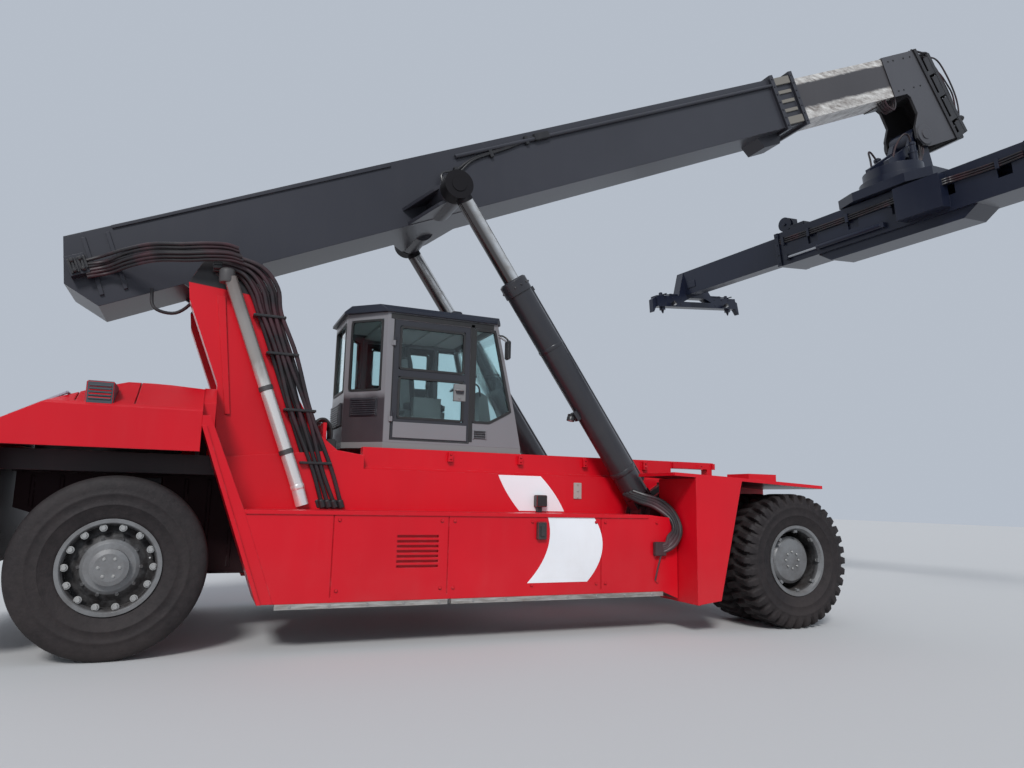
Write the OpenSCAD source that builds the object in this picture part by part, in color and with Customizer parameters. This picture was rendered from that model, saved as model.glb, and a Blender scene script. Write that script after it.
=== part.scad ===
// Reach stacker: container handling machine with a telescopic boom, a turning
// spreader and a sliding cab. X forward, Y left, Z up, millimetres. The origin
// lies on the ground under the middle of the front (drive) axle.

/* [Wheels] */
// Distance between the axles
wheelbase = 7500; // [7200:10:7800]
// Diameter over the tyre's lugs (18.00-25)
tyre_d = 1620; // [1580:5:1640]
// Width of one tyre
tyre_w = 500; // [440:5:520]
// Diameter of the rim under the tyre's bead
rim_d = 800; // [760:5:840]
// Distance between the middles of twin tyres
twin_pitch = 580; // [560:5:620]
// Half width over the front tyres
front_half_w = 2075; // [2050:5:2120]
// Half width over the rear tyres
rear_half_w = 1645; // [1620:5:1670]
// Distance of each steering kingpin from the middle
kingpin_y = 1000; // [980:5:1020]
// Lugs around a front tyre
lugs = 26; // [20:1:26]

/* [Frame] */
// Outer half width of the two main beams
beam_y = 950; // [940:5:955]
// Width of one main beam
beam_w = 250; // [200:5:300]
// Top of the main beams
beam_z = 1780; // [1770:5:1800]
// Front end of the main beams
frame_front_x = 500; // [460:5:600]
// Top of the side boxes
box_z = 1330; // [1300:5:1360]
// Underside of the side boxes
box_low_z = 450; // [400:5:500]
// Outer half width of the side boxes
box_y = 1680; // [1650:5:1700]
// Top of the cab's rails
rail_z = 2030; // [2000:5:2060]
// Thickness of fender and panel plates
sheet = 40; // [30:1:45]

/* [Boom] */
// Boom pivot ahead of the rear axle
pivot_ahead = 750; // [720:5:780]
// Boom pivot height
pivot_z = 3880; // [3860:5:3920]
// Angle of the boom above level
boom_angle = 24; // [20:0.5:30]
// Half width of the outer boom
boom_y = 400; // [380:5:420]
// Underside of the outer boom above the pivot line
boom_low = 60; // [50:5:70]
// Top of the outer boom above the pivot line
boom_top = 915; // [905:5:940]
// Front end of the outer boom from the pivot
boom_len = 9800; // [9500:10:9950]
// Plate thickness of the outer boom
boom_wall = 35; // [25:1:38]
// Half width of the inner boom
inner_y = 330; // [310:5:340]
// Underside of the inner boom above the pivot line
inner_low = 125; // [115:5:140]
// Top of the inner boom above the pivot line
inner_top = 860; // [830:5:865]

/* [Lift cylinders] */
// Base pin, distance forward of the front axle
base_x = -1560; // [-1580:5:-1550]
// Base pin height
base_z = 1336; // [1320:1:1350]
// Distance of each cylinder from the middle
cyl_y = 1130; // [1120:5:1135]
// Top pin along the boom from the pivot
top_pin_u = 2820; // [2780:10:2900]
// Top pin above the pivot line
top_pin_w = 190; // [170:5:230]
// Barrel diameter
barrel_d = 320; // [290:5:330]
// Rod diameter
rod_d = 200; // [180:5:220]
// Barrel length from the base pin
barrel_len = 3400; // [3300:10:3450]

/* [Spreader] */
// Hanging pin ahead of the boom pivot
hang_ahead = 11900; // [11850:10:11950]
// Hanging pin above the boom pivot
hang_up = 4520; // [4480:10:4560]
// Forward tilt of the hanging head
hang_pitch = 7.5; // [5:0.5:8]
// Hanging pin above the twistlock seats
hang_drop = 2100; // [2080:10:2200]
// Turning axis behind the hanging pin
turn_back = 550; // [500:10:560]
// Turn of the spreader from straight across
turn_angle = 9; // [0:0.5:15]
// Side shift of the frame toward the far side
side_shift = 0; // [-800:10:800]
// Half distance between the twistlocks along the spreader
lock_half = 5226; // [2926:1:5993]
// Half distance between the twistlocks across the spreader
lock_across = 1129; // [1120:1:1135]
// Half length of the spreader's main frame
main_half = 2400; // [2300:10:2785]

/* [Cab] */
// Rear end of the cab ahead of the boom pivot
cab_ahead = 1820; // [1800:10:1850]
// Half width of the cab
cab_y = 800; // [780:5:820]
// Floor of the cab
cab_z = 2100; // [2090:5:2120]
// Top of the cab's roof
cab_top = 3730; // [3720:5:3760]
// Thickness of the cab's walls and doors
cab_wall = 55; // [45:1:65]

/* [Hidden] */
$fn = 48;
tyre_r = tyre_d / 2;
rim_r = rim_d / 2;
axle_z = tyre_r;
rear_x = -wheelbase;
front_out_y = front_half_w - tyre_w / 2;
front_in_y = front_out_y - twin_pitch;
rear_y = rear_half_w - tyre_w / 2;
hub_y = 1560;
// the rear arch's front edge at the bottom, the beams' rear end, the tower's front foot
arch_x = rear_x + 1400;
tail_x = rear_x - 1120;
pivot_x = rear_x + pivot_ahead;
tower_x = pivot_x + 1590;
hood_y = 1650;
side_front_x = -1500;
pin_r = 90;
pivot_r = 120;
fit = 0.5;
slip = 0.3;
cyl_gap = 5;
eye_w = 100;
top_pin_x = pivot_x + top_pin_u * cos(boom_angle) - top_pin_w * sin(boom_angle);
top_pin_z = pivot_z + top_pin_u * sin(boom_angle) + top_pin_w * cos(boom_angle);
cyl_angle = atan2(top_pin_z - base_z, top_pin_x - base_x);
cyl_reach = sqrt(pow(top_pin_x - base_x, 2) + pow(top_pin_z - base_z, 2));
hang_x = pivot_x + hang_ahead;
hang_z = pivot_z + hang_up;
hang_u = hang_ahead * cos(boom_angle) + hang_up * sin(boom_angle);
hang_w = -hang_ahead * sin(boom_angle) + hang_up * cos(boom_angle);
nose_y = inner_y + 20;
inner_len = hang_u - 410;
inner_root = inner_len - 8700;
arm_w0 = 360;
arm_w1 = 920;
arm_half = 170;
arm_v = 225;
arm_gap = 12;
arm_root = 5709 - lock_half;
beam_half = 1360;
tube_wall = 30;
main_low = arm_w0 - arm_gap - 2 * tube_wall;
main_top = arm_w1 + arm_gap + 2 * tube_wall;
main_v = arm_v + arm_half + arm_gap + tube_wall;
ring_z = 1180;
lock_r = 31;
cab_x = pivot_x + cab_ahead;
screen_x = cab_x + 1730;
brow_x = cab_x + 1390;
eaves_z = cab_top - 90;
door_x = cab_x + 85;
door_end_x = cab_x + 1035;
rear_cut = 400;
hinge_out = 16;

// A box between two corners
module block(x, y, z) {
    translate([x[0], y[0], z[0]]) cube([x[1] - x[0], y[1] - y[0], z[1] - z[0]]);
}

// A side outline in X and Z, as a plate from y[0] to y[1]
module plate(y, points) {
    translate([0, y[1], 0]) rotate([90, 0, 0]) linear_extrude(y[1] - y[0]) polygon(points);
}

// A plan outline in X and Y, as a plate from z[0] to z[1]
module sheet_flat(z, points) {
    translate([0, 0, z[0]]) linear_extrude(z[1] - z[0]) polygon(points);
}

// An outline in Y and Z, as a plate from x[0] to x[1]
module plate_across(x, points) {
    translate([x[0], 0, 0]) rotate([90, 0, 90]) linear_extrude(x[1] - x[0]) polygon(points);
}

// A round bar along Y, of radius r, from y[0] to y[1]
module bar(x, z, r, y) {
    translate([x, y[1], z]) rotate([90, 0, 0]) cylinder(r = r, h = y[1] - y[0]);
}

// A ring or turned shape around an axis along Y: outline of radius and Y
module turned(x, z, points) {
    translate([x, 0, z]) rotate([-90, 0, 0]) rotate_extrude() polygon(points);
}

// A round bar from one point to another
module strut(a, b, r) {
    d = b - a;
    translate(a) rotate([0, acos(d[2] / norm(d)), atan2(d[1], d[0])]) cylinder(r = r, h = norm(d));
}

module both_sides() {
    children();
    mirror([0, 1, 0]) children();
}

module on_side(side) mirror([0, side < 0 ? 1 : 0, 0]) children();

// Count copies turned evenly around an axis along Y
module around(x, z, count) {
    for (k = [0:count - 1]) translate([x, 0, z]) rotate([0, 360 * k / count, 0]) children();
}

// X along the boom from its pivot, Z square to it
module boom_frame() {
    translate([pivot_x, 0, pivot_z]) rotate([0, -boom_angle, 0]) children();
}

// X along a lift cylinder from its base pin
module cyl_frame(side) {
    translate([base_x, side * cyl_y, base_z]) rotate([0, -cyl_angle, 0]) children();
}

// Origin at the hanging pin, Z along the turning axis
module hang_frame() {
    translate([hang_x, 0, hang_z]) rotate([0, -hang_pitch, 0]) children();
}

// Origin between the twistlock seats under the turning axis, Y along the spreader
module spreader_frame_place() {
    hang_frame() translate([-turn_back, 0, -hang_drop]) rotate([0, 0, turn_angle]) children();
}

// Sub-parts of the chassis

module frame() color("firebrick") {
    beam_in = beam_y - beam_w;
    both_sides() plate([beam_in, beam_y], [
        [tail_x, 1660], [arch_x - 460, 1660], [arch_x, 620], [-1350, 620], [-600, 1075],
        [frame_front_x, 1075], [frame_front_x, 1500], [-1000, beam_z],
        [tower_x, beam_z], [tower_x, 1930], [tower_x - 280, 1970], [arch_x - 460, 1860], [tail_x, 1860]
    ]);
    tower_plates();
    // cross members
    for (x = [arch_x + 700, -3400, -1400, 300]) block([x, x + 160], [-beam_in, beam_in], [1120, 1480]);
    block([tail_x + 60, tail_x + 220], [-beam_in, beam_in], [1660, 1840]);
    block([arch_x - 1700, arch_x - 1100], [-beam_in, beam_in], [1660, 1700 - slip]);
    // wall between the tower's plates, with a turned edge
    block([pivot_x + 190, pivot_x + 230], [-620, 620], [1700, 3000]);
    block([pivot_x + 60, pivot_x + 190], [-620, 620], [2960, 3000]);
    block([tower_x - 420, tower_x - 380], [-620, 620], [1700, 2300]);
    both_sides() lift_lugs();
}

// The two plates that carry the boom, their stiffeners and pivot pins
module tower_plates() both_sides() {
    x = pivot_x;
    difference() {
        plate([620, 880], [
            [x - 330, 3500], [x - 350, 3680], [x - 230, 3920], [x - 120, 4030], [x + 60, 4050], [x + 200, 3960],
            [x + 250, 3800], [x + 380, 3650], [x + 860, 2500], [x + 1050, 2180], [x + 1310, 1970], [x + 1590, 1930],
            [x + 1550, 1700], [x + 50, 1700], [x + 10, 2620]
        ]);
        // hollow between the inner and outer plates of each side
        plate([660, 840], [
            [x + 60, 2630], [x + 100, 1740], [x + 1400, 1740], [x + 1400, 1900], [x + 1270, 1930], [x + 1000, 2150],
            [x + 800, 2480], [x + 340, 3560], [x - 220, 3560], [x - 230, 3480]
        ]);
    }
    // flat stiffener along the outer face, and the pin's keeper plate
    plate([880, 905], [[x - 60, 3560], [x + 20, 3560], [x + 160, 2300], [x + 110, 2300]]);
    bar(x, pivot_z, pivot_r, [boom_y - boom_wall + 5, 900]);
    block([x - 90, x + 90], [900, 915], [pivot_z - 40, pivot_z + 40]);
}

// Lugs and pin for the base of one lift cylinder
module lift_lugs() {
    for (y = [[beam_y, cyl_y - eye_w - cyl_gap], [cyl_y + eye_w + cyl_gap, 1290]]) {
        bar(base_x, base_z, 210, y);
        plate(y, [[base_x, base_z - 210], [-1250, 900], [-1250, 1740], [base_x, base_z + 210]]);
    }
    block([-1300, -1230], [beam_y, 1290], [900, 1740]);
    bar(base_x, base_z, pin_r, [beam_y, 1298]);
}

module counterweight() color("dimgray") {
    difference() {
        intersection() {
            plate([-1600, 1600], [
                [tail_x, 750], [tail_x, 1900], [tail_x - 180, 1960], [tail_x - 630, 1880],
                [tail_x - 780, 1500], [tail_x - 680, 800], [tail_x - 530, 700]
            ]);
            // the rear face is curved in plan
            translate([tail_x + 2120, 0, 0]) cylinder(r = 2900, h = 3000);
        }
        // recesses for the rear lamps
        both_sides() block([tail_x - 900, tail_x - 440], [1000, 1320], [1560, 1700]);
        // tow pin pocket
        block([tail_x - 900, tail_x - 560], [-110, 110], [850, 1060]);
    }
    bar(tail_x - 640, 955, 30, [-110, 110]);
}

// The hood's section over half its width, moved in by t
function hood_section(t) = [
    [-hood_y + t, 1860 - t], [hood_y - t, 1860 - t], [hood_y - t, 2240 - t / 2], [hood_y - 30 - t, 2262 - t / 2],
    [1040 - t, 2545 - t], [960 - t, 2560 - t], [-960 + t, 2560 - t], [-1040 + t, 2545 - t],
    [-hood_y + 30 + t, 2262 - t / 2], [-hood_y + t, 2240 - t / 2]
];

// The hood's side outline, moved in by t
function hood_side(t) = [
    [arch_x - 750 - t, 1860 - t], [arch_x - 750 - t, 2520 - t], [rear_x + 150, 2560 - t],
    [rear_x - 50, 2545 - t], [rear_x - 300, 2440 - t], [rear_x - 950 + t / 2, 2080 - t],
    [tail_x + t, 1970 - t], [tail_x + t, 1860 - t]
];

module hood_form(t) intersection() {
    plate([-hood_y + t, hood_y - t], hood_side(t));
    translate([tail_x - 1, 0, 0]) rotate([90, 0, 90]) linear_extrude(3000) polygon(hood_section(t));
}

module hood() color("crimson") {
    difference() {
        hood_form(0);
        hood_form(sheet);
        // joints between the lids
        for (x = [rear_x + 60, rear_x - 420]) block([x, x + 12], [-hood_y - 5, hood_y + 5], [2275, 2700]);
        for (y = [-1006, 994]) block([tail_x - 5, arch_x - 740], [y, y + 12], [2550, 2600]);
        // air outlet in the rear slope
        intersection() {
            block([tail_x + 200, tail_x + 640], [-1450, 1450], [1900, 2400]);
            both_sides() for (k = [0:8]) block([tail_x + 200, tail_x + 640], [260 + 130 * k, 330 + 130 * k], [1900, 2400]);
        }
    }
    // air intake box on the right
    block([rear_x - 330, rear_x - 110], [-1620, -1290], [2230, 2455]);
    for (k = [0:3]) block([rear_x - 310, rear_x - 130], [-1628, -1620], [2300 + 35 * k, 2312 + 35 * k]);
}

module engine_block() color("dimgray") {
    block([tail_x + 240, arch_x - 950], [-450, 450], [1700, 2020]);
}

module side_boxes() color("firebrick") {
    both_sides() difference() {
        plate([beam_y, box_y], [
            [arch_x, box_low_z], [-1730, box_low_z], [side_front_x - 10, box_low_z - 90], [side_front_x - 10, 1290],
            [-1900, box_z], [arch_x - 320, box_z]
        ]);
        // room for the foot of the lift cylinder
        block([-1900, -1300], [beam_y - 1, 1330], [900, 1500]);
        // joints between the panels
        for (x = [arch_x + 520, arch_x + 1710, -2560]) block([x, x + 10], [box_y - 12, box_y + 1], [500, 1340]);
        // vent field with its slats left standing
        for (k = [0:6]) block([arch_x + 1170, arch_x + 1610], [box_y - 30, box_y + 1], [770 + 50 * k, 795 + 50 * k]);
    }
    // turned top edge, latch and grab handle
    both_sides() {
        block([arch_x - 300, -1920], [box_y, box_y + 12], [box_z - 40, box_z]);
        block([-3370, -3270], [box_y, box_y + 40], [1055, 1235]);
        block([-3070, -2940], [beam_y, beam_y + 90], [1400, 1530]);
        block([-3040, -2990], [beam_y, beam_y + 50], [box_z - 1, 1401]);
    }
}

// Channels along the foot of the side boxes, in two lengths
module step_bars() color("silver") both_sides() {
    for (x = [[arch_x + 10, arch_x + 1720], [arch_x + 1760, -1730]]) difference() {
        block(x, [box_y - 60, box_y + 20], [box_low_z - 50, box_low_z]);
        block([x[0] + 15, x[1] - 15], [box_y - 50, box_y + 8], [box_low_z - 51, box_low_z - 12]);
    }
}

module rear_fenders() color("crimson") both_sides() {
    plate([beam_y, box_y], [
        [arch_x, box_low_z], [arch_x - 320, box_z], [arch_x - 680, 2200], [arch_x - 750, 2200],
        [arch_x - 750, 2100], [arch_x - 150, box_low_z]
    ]);
    // mudguard lip along the arch
    plate([box_y, box_y + 25], [
        [arch_x - 150, box_low_z], [arch_x - 110, box_low_z], [arch_x - 705, 2100], [arch_x - 750, 2100]
    ]);
}

module front_fenders() color("crimson") both_sides() {
    block([side_front_x, side_front_x + sheet], [1300, 2050], [330, 1770]);
    block([side_front_x + sheet, -1230], [1300, 1340], [900, 1740]);
    plate([950, 985], [[-825, 1600], [450, 1450], [450, 1730], [-825, 1790]]);
    plate([1300, 2050], [[-1800, 1829], [-825, 1790], [-825, 1750], [-1800, 1789]]);
    plate([985, 2050], [[-825, 1790], [450, 1730], [450, 1690], [-825, 1750]]);
    plate([2020, 2050], [[-1500, 330], [-1170, 370], [-840, 1700], [-825, 1752], [-1500, 1780]]);
    // box on the fender's top
    block([-330, 120], [1180, 1600], [1735, 1870]);
}

module cab_rails() color("firebrick") both_sides() {
    block([tower_x, -1000], [720, 850], [beam_z, rail_z]);
    block([-1000, -300], [720, 850], [rail_z - 90, rail_z]);
    plate([720, 850], [[-400, 1669], [-320, 1654], [-320, rail_z - 90], [-400, rail_z - 90]]);
    // lugs along the outer face, and a turned lower edge
    for (x = [tower_x + 1000:900:-1200]) block([x, x + 60], [850, 900], [rail_z - 130, rail_z - 20]);
    block([tower_x, -1000], [850, 880], [beam_z, beam_z + 25]);
    for (x = [-980, -330]) block([x, x + 40], [850, 880], [rail_z - 90, rail_z - 10]);
}

// A pipe in three lengths down the tower, and its clamps
module exhaust() color("silver") {
    top = [pivot_x + 50, -1030, 3740];
    mid = [pivot_x + 880, -1030, 1560];
    strut(top, mid, 68);
    translate(mid) sphere(r = 74);
    strut(mid, mid + [60, 0, -190], 68);
    for (t = [0.12, 0.36, 0.6]) {
        p = top + t * (mid - top);
        block([p[0] - 20, p[0] + 60], [-1030, -905], [p[2] - 30, p[2] + 20]);
    }
}

module hoses() color("black") {
    for (i = [0:3])
        strut([pivot_x + 310 + 62 * i, -982, 3560 - 60 * i], [pivot_x + 1085 + 62 * i, -982, 1620 + 30 * i], 30);
    for (s = [[pivot_x + 490, 3060], [pivot_x + 690, 2560]])
        block([s[0] - 60, s[0] + 260], [-1020, -905], [s[1], s[1] + 40]);
}

module drive_axle() color("dimgray") {
    turned(0, axle_z, [
        [0, -940], [240, -940], [240, -600], [300, -420], [400, -250], [420, 0],
        [400, 250], [300, 420], [240, 600], [240, 940], [0, 940]
    ]);
    bar(0, axle_z, 200, [-1500 + slip, 1500 - slip]);
    // input housing of the differential
    translate([-620, 0, axle_z]) rotate([0, 90, 0]) cylinder(r1 = 110, r2 = 230, h = 500);
    both_sides() block([-250, 250], [720, 940], [axle_z - 250, 1075]);
}

module steer_axle() color("dimgray") {
    difference() {
        translate([rear_x, 0, 0]) rotate([90, 0, 90]) translate([0, 0, -190]) linear_extrude(380) polygon([
            [-870, 620], [870, 620], [870, 1000], [560, 1080], [-560, 1080], [-870, 1000]
        ]);
        // open pockets in the casting
        for (x = [[rear_x - 191, rear_x - 60], [rear_x + 60, rear_x + 191]]) both_sides() block(x, [120, 880], [700, 920]);
    }
    block([rear_x - 300, rear_x + 300], [-430, 430], [1080, 1660]);
    both_sides() for (z = [[620, 700], [920, 1000]]) {
        translate([rear_x, kingpin_y, z[0]]) cylinder(r = 130, h = z[1] - z[0]);
        block([rear_x - 130, rear_x + 130], [860, kingpin_y], z);
    }
}

// Front working lamps in their guards, and the rear lamps
module lamps() color("white") both_sides() {
    block([frame_front_x, frame_front_x + 40], [710, 930], [1180, 1420]);
    for (z = [1250, 1350]) translate([frame_front_x + 40, 820, z]) rotate([0, 90, 0]) cylinder(r = 42, h = 25);
    block([tail_x - 465, tail_x - 440 - slip], [1000 + slip, 1320], [1560 + slip, 1700 - slip]);
}

// Bar behind the cab on the left
module handrails() color("black") {
    x = cab_x - 620;
    bar(x, 2560, 20, [980, 1600]);
    for (y = [1010, 1560]) translate([x, y, box_z]) cylinder(r = 20, h = 1230);
}

// Wheels

// Stations around a lugged tyre, as a share of the pitch from lug to lug, and whether each is on the lug
lug_turn = [0, 0.52, 0.76];
lug_on = [true, true, false];
bead_r = rim_r / cos(90 / lugs);
half_w = tyre_w / 2;
// Half a section: radius and Y on a lug, then in a groove
lug_half = [
    [[bead_r, half_w - 45], [bead_r, half_w - 45]],
    [[tyre_r - 150, half_w], [tyre_r - 165, half_w - 22]],
    [[tyre_r, half_w - 35], [tyre_r - 42, half_w - 50]]
];
// Half the section of a smooth tyre with a bulging side and a worn round tread
smooth_half = [[bead_r, half_w - 45], [500, half_w - 8], [640, half_w], [tyre_r - 50, half_w - 24], [tyre_r, half_w - 80]];

// A closed band of rings, each a list of points, in order across the tyre
module ring_solid(rings) {
    n = len(rings[0]);
    m = len(rings);
    polyhedron(
        points = [for (ring = rings, p = ring) p],
        faces = [for (r = [0:m - 1], i = [0:n - 1], half = [0, 1])
            let (s = (r + 1) % m, j = (i + 1) % n)
            half == 0 ? [r * n + i, r * n + j, s * n + i] : [r * n + j, s * n + j, s * n + i]],
        convexity = 4
    );
}

// Both halves of a section, from the near bead to the far one
function mirrored(half) = concat(
    [for (p = half) [p[0], -p[1]]],
    [for (k = [len(half) - 1:-1:0]) half[k]]
);

function on_circle(p, a) = [p[0] * cos(a), p[1], p[0] * sin(a)];

module lugged_tyre() {
    lug = mirrored([for (h = lug_half) h[0]]);
    groove = mirrored([for (h = lug_half) h[1]]);
    ring_solid([for (r = [0:len(lug) - 1])
        [for (k = [0:lugs - 1], j = [0:2]) on_circle(lug_on[j] ? lug[r] : groove[r], 360 / lugs * (k + lug_turn[j]))]]);
}

module smooth_tyre(count = 44)
    ring_solid([for (p = mirrored(smooth_half)) [for (k = [0:count - 1]) on_circle(p, 360 * k / count)]]);

module front_tyres(side) color("black") {
    for (y = [front_in_y, front_out_y]) translate([0, side * y, axle_z]) lugged_tyre();
}

// Twin rims on one hub: tubes, flanges, deep disc, hub reduction and cover
module front_rims(side) color("gray") on_side(side) {
    y0 = front_in_y - tyre_w / 2 + 50;
    y1 = front_out_y + tyre_w / 2 - 50;
    r = rim_r - fit;
    turned(0, axle_z, [
        [r, y0], [r, y1 + 8], [r + 24, y1 + 12], [r + 24, y1 + 26], [r - 10, y1 + 26], [r - 35, y1 - 10],
        [r - 35, hub_y + 60], [250, hub_y + 40], [250, hub_y], [250, 1501], [r - 35, 1520], [r - 35, y0]
    ]);
    turned(0, axle_z, [
        [0, 1501], [250, 1501], [250, hub_y + 180], [285, hub_y + 230], [285, hub_y + 350],
        [250, hub_y + 380], [0, hub_y + 400]
    ]);
    // wedge cleats that hold the rims
    around(0, axle_z, 8) translate([r - 62, y1 - 40, -22]) cube([30, 50, 44]);
}

module knuckle(side) color("dimgray") on_side(side) {
    translate([rear_x, kingpin_y, 700 + slip]) cylinder(r = 120, h = 220 - 2 * slip);
    bar(rear_x, axle_z, 105, [kingpin_y, rear_y + 35 - slip]);
    // steering arm
    block([rear_x + 90, rear_x + 260], [kingpin_y - 30, kingpin_y + 40], [720, 790]);
}

module rear_tyre(side) color("black") {
    translate([rear_x, side * rear_y, axle_z]) smooth_tyre();
}

// Rim with a domed disc, a ring of cleats and a hub cap
module rear_rim(side) color("silver") on_side(side) {
    y0 = rear_y - tyre_w / 2 + 50;
    y1 = rear_y + tyre_w / 2 - 50;
    r = rim_r - fit;
    turned(rear_x, axle_z, [
        [r, y0], [r, y1 + 8], [r + 24, y1 + 17], [r + 24, y1 + 30], [r - 10, y1 + 30], [r - 35, y1 - 6],
        [r - 35, rear_y + 95], [300, rear_y + 120], [210, rear_y + 190], [160, rear_y + 196], [160, rear_half_w],
        [120, rear_half_w + 12], [0, rear_half_w + 12], [0, rear_y + 35], [r - 35, rear_y + 35], [r - 35, y0]
    ]);
    around(rear_x, axle_z, 14) translate([r - 70, y1 - 55, -25]) cube([38, 60, 50]);
    around(rear_x, axle_z, 10) translate([250, rear_y + 140, 0]) rotate([-90, 0, 0]) cylinder(r = 16, h = 32);
}

// Boom

module boom_outer() color("darkslategray") boom_frame() {
    eye_y = cyl_y - eye_w - 15;
    difference() {
        union() {
            plate([-boom_y, boom_y], [
                [-1375, 890], [-1530, 400], [-1300, boom_low + 15], [boom_len, boom_low],
                [boom_len, boom_top], [2200, boom_top]
            ]);
            both_sides() {
                bar(0, 0, 240, [boom_y - 40, 600]);
                // cheek that hangs down around the pivot
                plate([boom_y - 40, boom_y], [[-420, boom_low + 20], [-200, -230], [200, -230], [480, boom_low + 20]]);
                lift_bracket(eye_y);
            }
            // foot under the front end
            plate([-200, 200], [
                [boom_len - 980, boom_low + 5], [boom_len - 900, -120], [boom_len - 530, -120], [boom_len - 450, boom_low + 5]
            ]);
            for (u = [boom_len - 520, boom_len - 60]) block([u, u + 80], [-boom_y - 50, boom_y + 50], [boom_low - 50, boom_top + 45]);
        }
        block([-1200, boom_len + 30], [-boom_y + boom_wall, boom_y - boom_wall],
              [boom_low + boom_wall, boom_top - boom_wall - 5]);
        both_sides() bar(0, 0, pivot_r + fit, [boom_y - 60, 610]);
    }
    // wear pad under the inner boom
    block([boom_len - 400, boom_len], [-280, 280], [boom_low + boom_wall, inner_low - slip]);
    both_sides() {
        // pads between the two collars, and side pads
        block([boom_len - 440, boom_len - 60], [boom_y, boom_y + 30], [boom_top - 130, boom_top - 20]);
        block([boom_len - 440, boom_len - 60], [boom_y, boom_y + 30], [boom_low + 30, boom_low + 140]);
        // stiffeners on the rear end, and the pipe along the side
        for (u = [-1250, -1010]) plate([boom_y, boom_y + 25], [[u, 180], [u + 40, 180], [u + 70, 830], [u + 30, 830]]);
        block([-900, 2400], [boom_y, boom_y + 20], [boom_top - 60, boom_top - 25]);
        translate([3300, boom_y + 26, boom_top - 120]) rotate([0, 90, 0]) cylinder(r = 26, h = boom_len - 3830);
    }
    // valve block at the rear end
    block([-1440, -1250], [-boom_y - 120, -boom_y], [420, 640]);
}

// Cross tube end and gusset that hold one lift cylinder's top pin
module lift_bracket(eye_y) {
    bar(top_pin_u, top_pin_w, 175, [boom_y, eye_y]);
    for (w = [top_pin_w - 115, top_pin_w + 75]) sheet_flat([w, w + 40], [
        [top_pin_u - 480, boom_y], [top_pin_u + 480, boom_y], [top_pin_u + 210, eye_y - 90],
        [top_pin_u + 120, eye_y], [top_pin_u - 120, eye_y], [top_pin_u - 210, eye_y - 90]
    ]);
}

module boom_inner() color("gray") boom_frame() {
    difference() {
        block([inner_root, inner_len], [-inner_y, inner_y], [inner_low, inner_top]);
        block([inner_root + 50, inner_len + 10], [-inner_y + 25, inner_y - 25], [inner_low + 25, inner_top - 25]);
    }
}

module boom_nose() color("gray") boom_frame() {
    front_u = hang_u + 930;
    wall = 50;
    difference() {
        union() {
            plate([-nose_y, nose_y], [
                [inner_len + slip, inner_top + 15], [front_u - 320, inner_top + 30], [front_u, hang_w - 230],
                [hang_u + 120, hang_w - 230], [hang_u - 130, hang_w - 180], [hang_u - 215, hang_w - 20],
                [hang_u - 160, hang_w + 190], [hang_u + 40, hang_w + 420], [hang_u + 10, inner_low - 90],
                [hang_u - 60, inner_low - 15], [inner_len + slip, inner_low - 15]
            ]);
            // lips along the front edge
            plate([-nose_y - 25, nose_y + 25], [
                [front_u - 400, inner_top + 40], [front_u - 320, inner_top + 40], [front_u, hang_w - 240], [front_u - 80, hang_w - 240]
            ]);
            both_sides() bar(hang_u, hang_w, 190, [nose_y, nose_y + 25]);
        }
        // opening between the two cheeks
        plate([-nose_y + wall, nose_y - wall], [
            [hang_u - 300, inner_low - 60], [front_u - 225, inner_low - 60], [front_u - 80, hang_w - 300], [hang_u - 300, hang_w - 300]
        ]);
        block([inner_len - 10, front_u - 420], [-inner_y + 25, inner_y - 25], [inner_low + 25, inner_top - 25]);
    }
    bar(hang_u, hang_w, pin_r, [-nose_y - 40, nose_y + 40]);
    // guard plates in front, for the hoses and lamps
    both_sides() plate([250, 275], [
        [front_u - 335, inner_top + 20], [front_u - 150, inner_top + 50], [front_u + 180, hang_w - 190], [front_u - 15, hang_w - 230]
    ]);
    for (k = [0:2]) block([front_u - 200 + 115 * k, front_u - 160 + 115 * k], [-255, 255], [inner_top - 130 - 620 * k, inner_top - 90 - 620 * k]);
    // bar with lamps and hose guides on the front
    both_sides() for (k = [0:3])
        translate([front_u - 300 + 68 * k, 150, inner_top - 60 - 360 * k]) rotate([0, 90, 0]) cylinder(r = 60, h = 120);
}

// Lift cylinders

module barrel(side) color("black") cyl_frame(side) {
    difference() {
        union() {
            bar(0, 0, 200, [-eye_w, eye_w]);
            // the tube with its base, port rings and gland
            rotate([0, 90, 0]) rotate_extrude() polygon([
                [0, 260], [120, 240], [barrel_d / 2, 300], [barrel_d / 2, barrel_len - 190], [barrel_d / 2 + 14, barrel_len - 185],
                [barrel_d / 2 + 14, barrel_len - 20], [barrel_d / 2 - 10, barrel_len], [0, barrel_len]
            ]);
            block([0, 300], [-95, 95], [-140, 140]);
            // lamp bracket and oil pipe along the tube
            block([1500, 1620], [-40, 40], [barrel_d / 2 - 20, barrel_d / 2 + 45]);
            translate([380, 0, -barrel_d / 2 - 20]) rotate([0, 90, 0]) cylinder(r = 22, h = barrel_len - 560);
            for (u = [400, barrel_len - 240]) block([u, u + 60], [-35, 35], [-barrel_d / 2 - 42, -barrel_d / 2 + 20]);
        }
        bar(0, 0, pin_r + fit, [-eye_w - 1, eye_w + 1]);
        translate([300, 0, 0]) rotate([0, 90, 0]) cylinder(d = rod_d + 2 * fit, h = barrel_len);
    }
}

module rod(side) color("silver") cyl_frame(side) {
    translate([1360, 0, 0]) rotate([0, 90, 0]) cylinder(d = rod_d, h = cyl_reach - 1360 - 100);
    bar(cyl_reach, 0, 180, [-eye_w, eye_w]);
    // ends of the pin in the eye
    bar(cyl_reach, 0, pin_r, [-eye_w - 9, eye_w + 9]);
}

// Spreader

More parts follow.
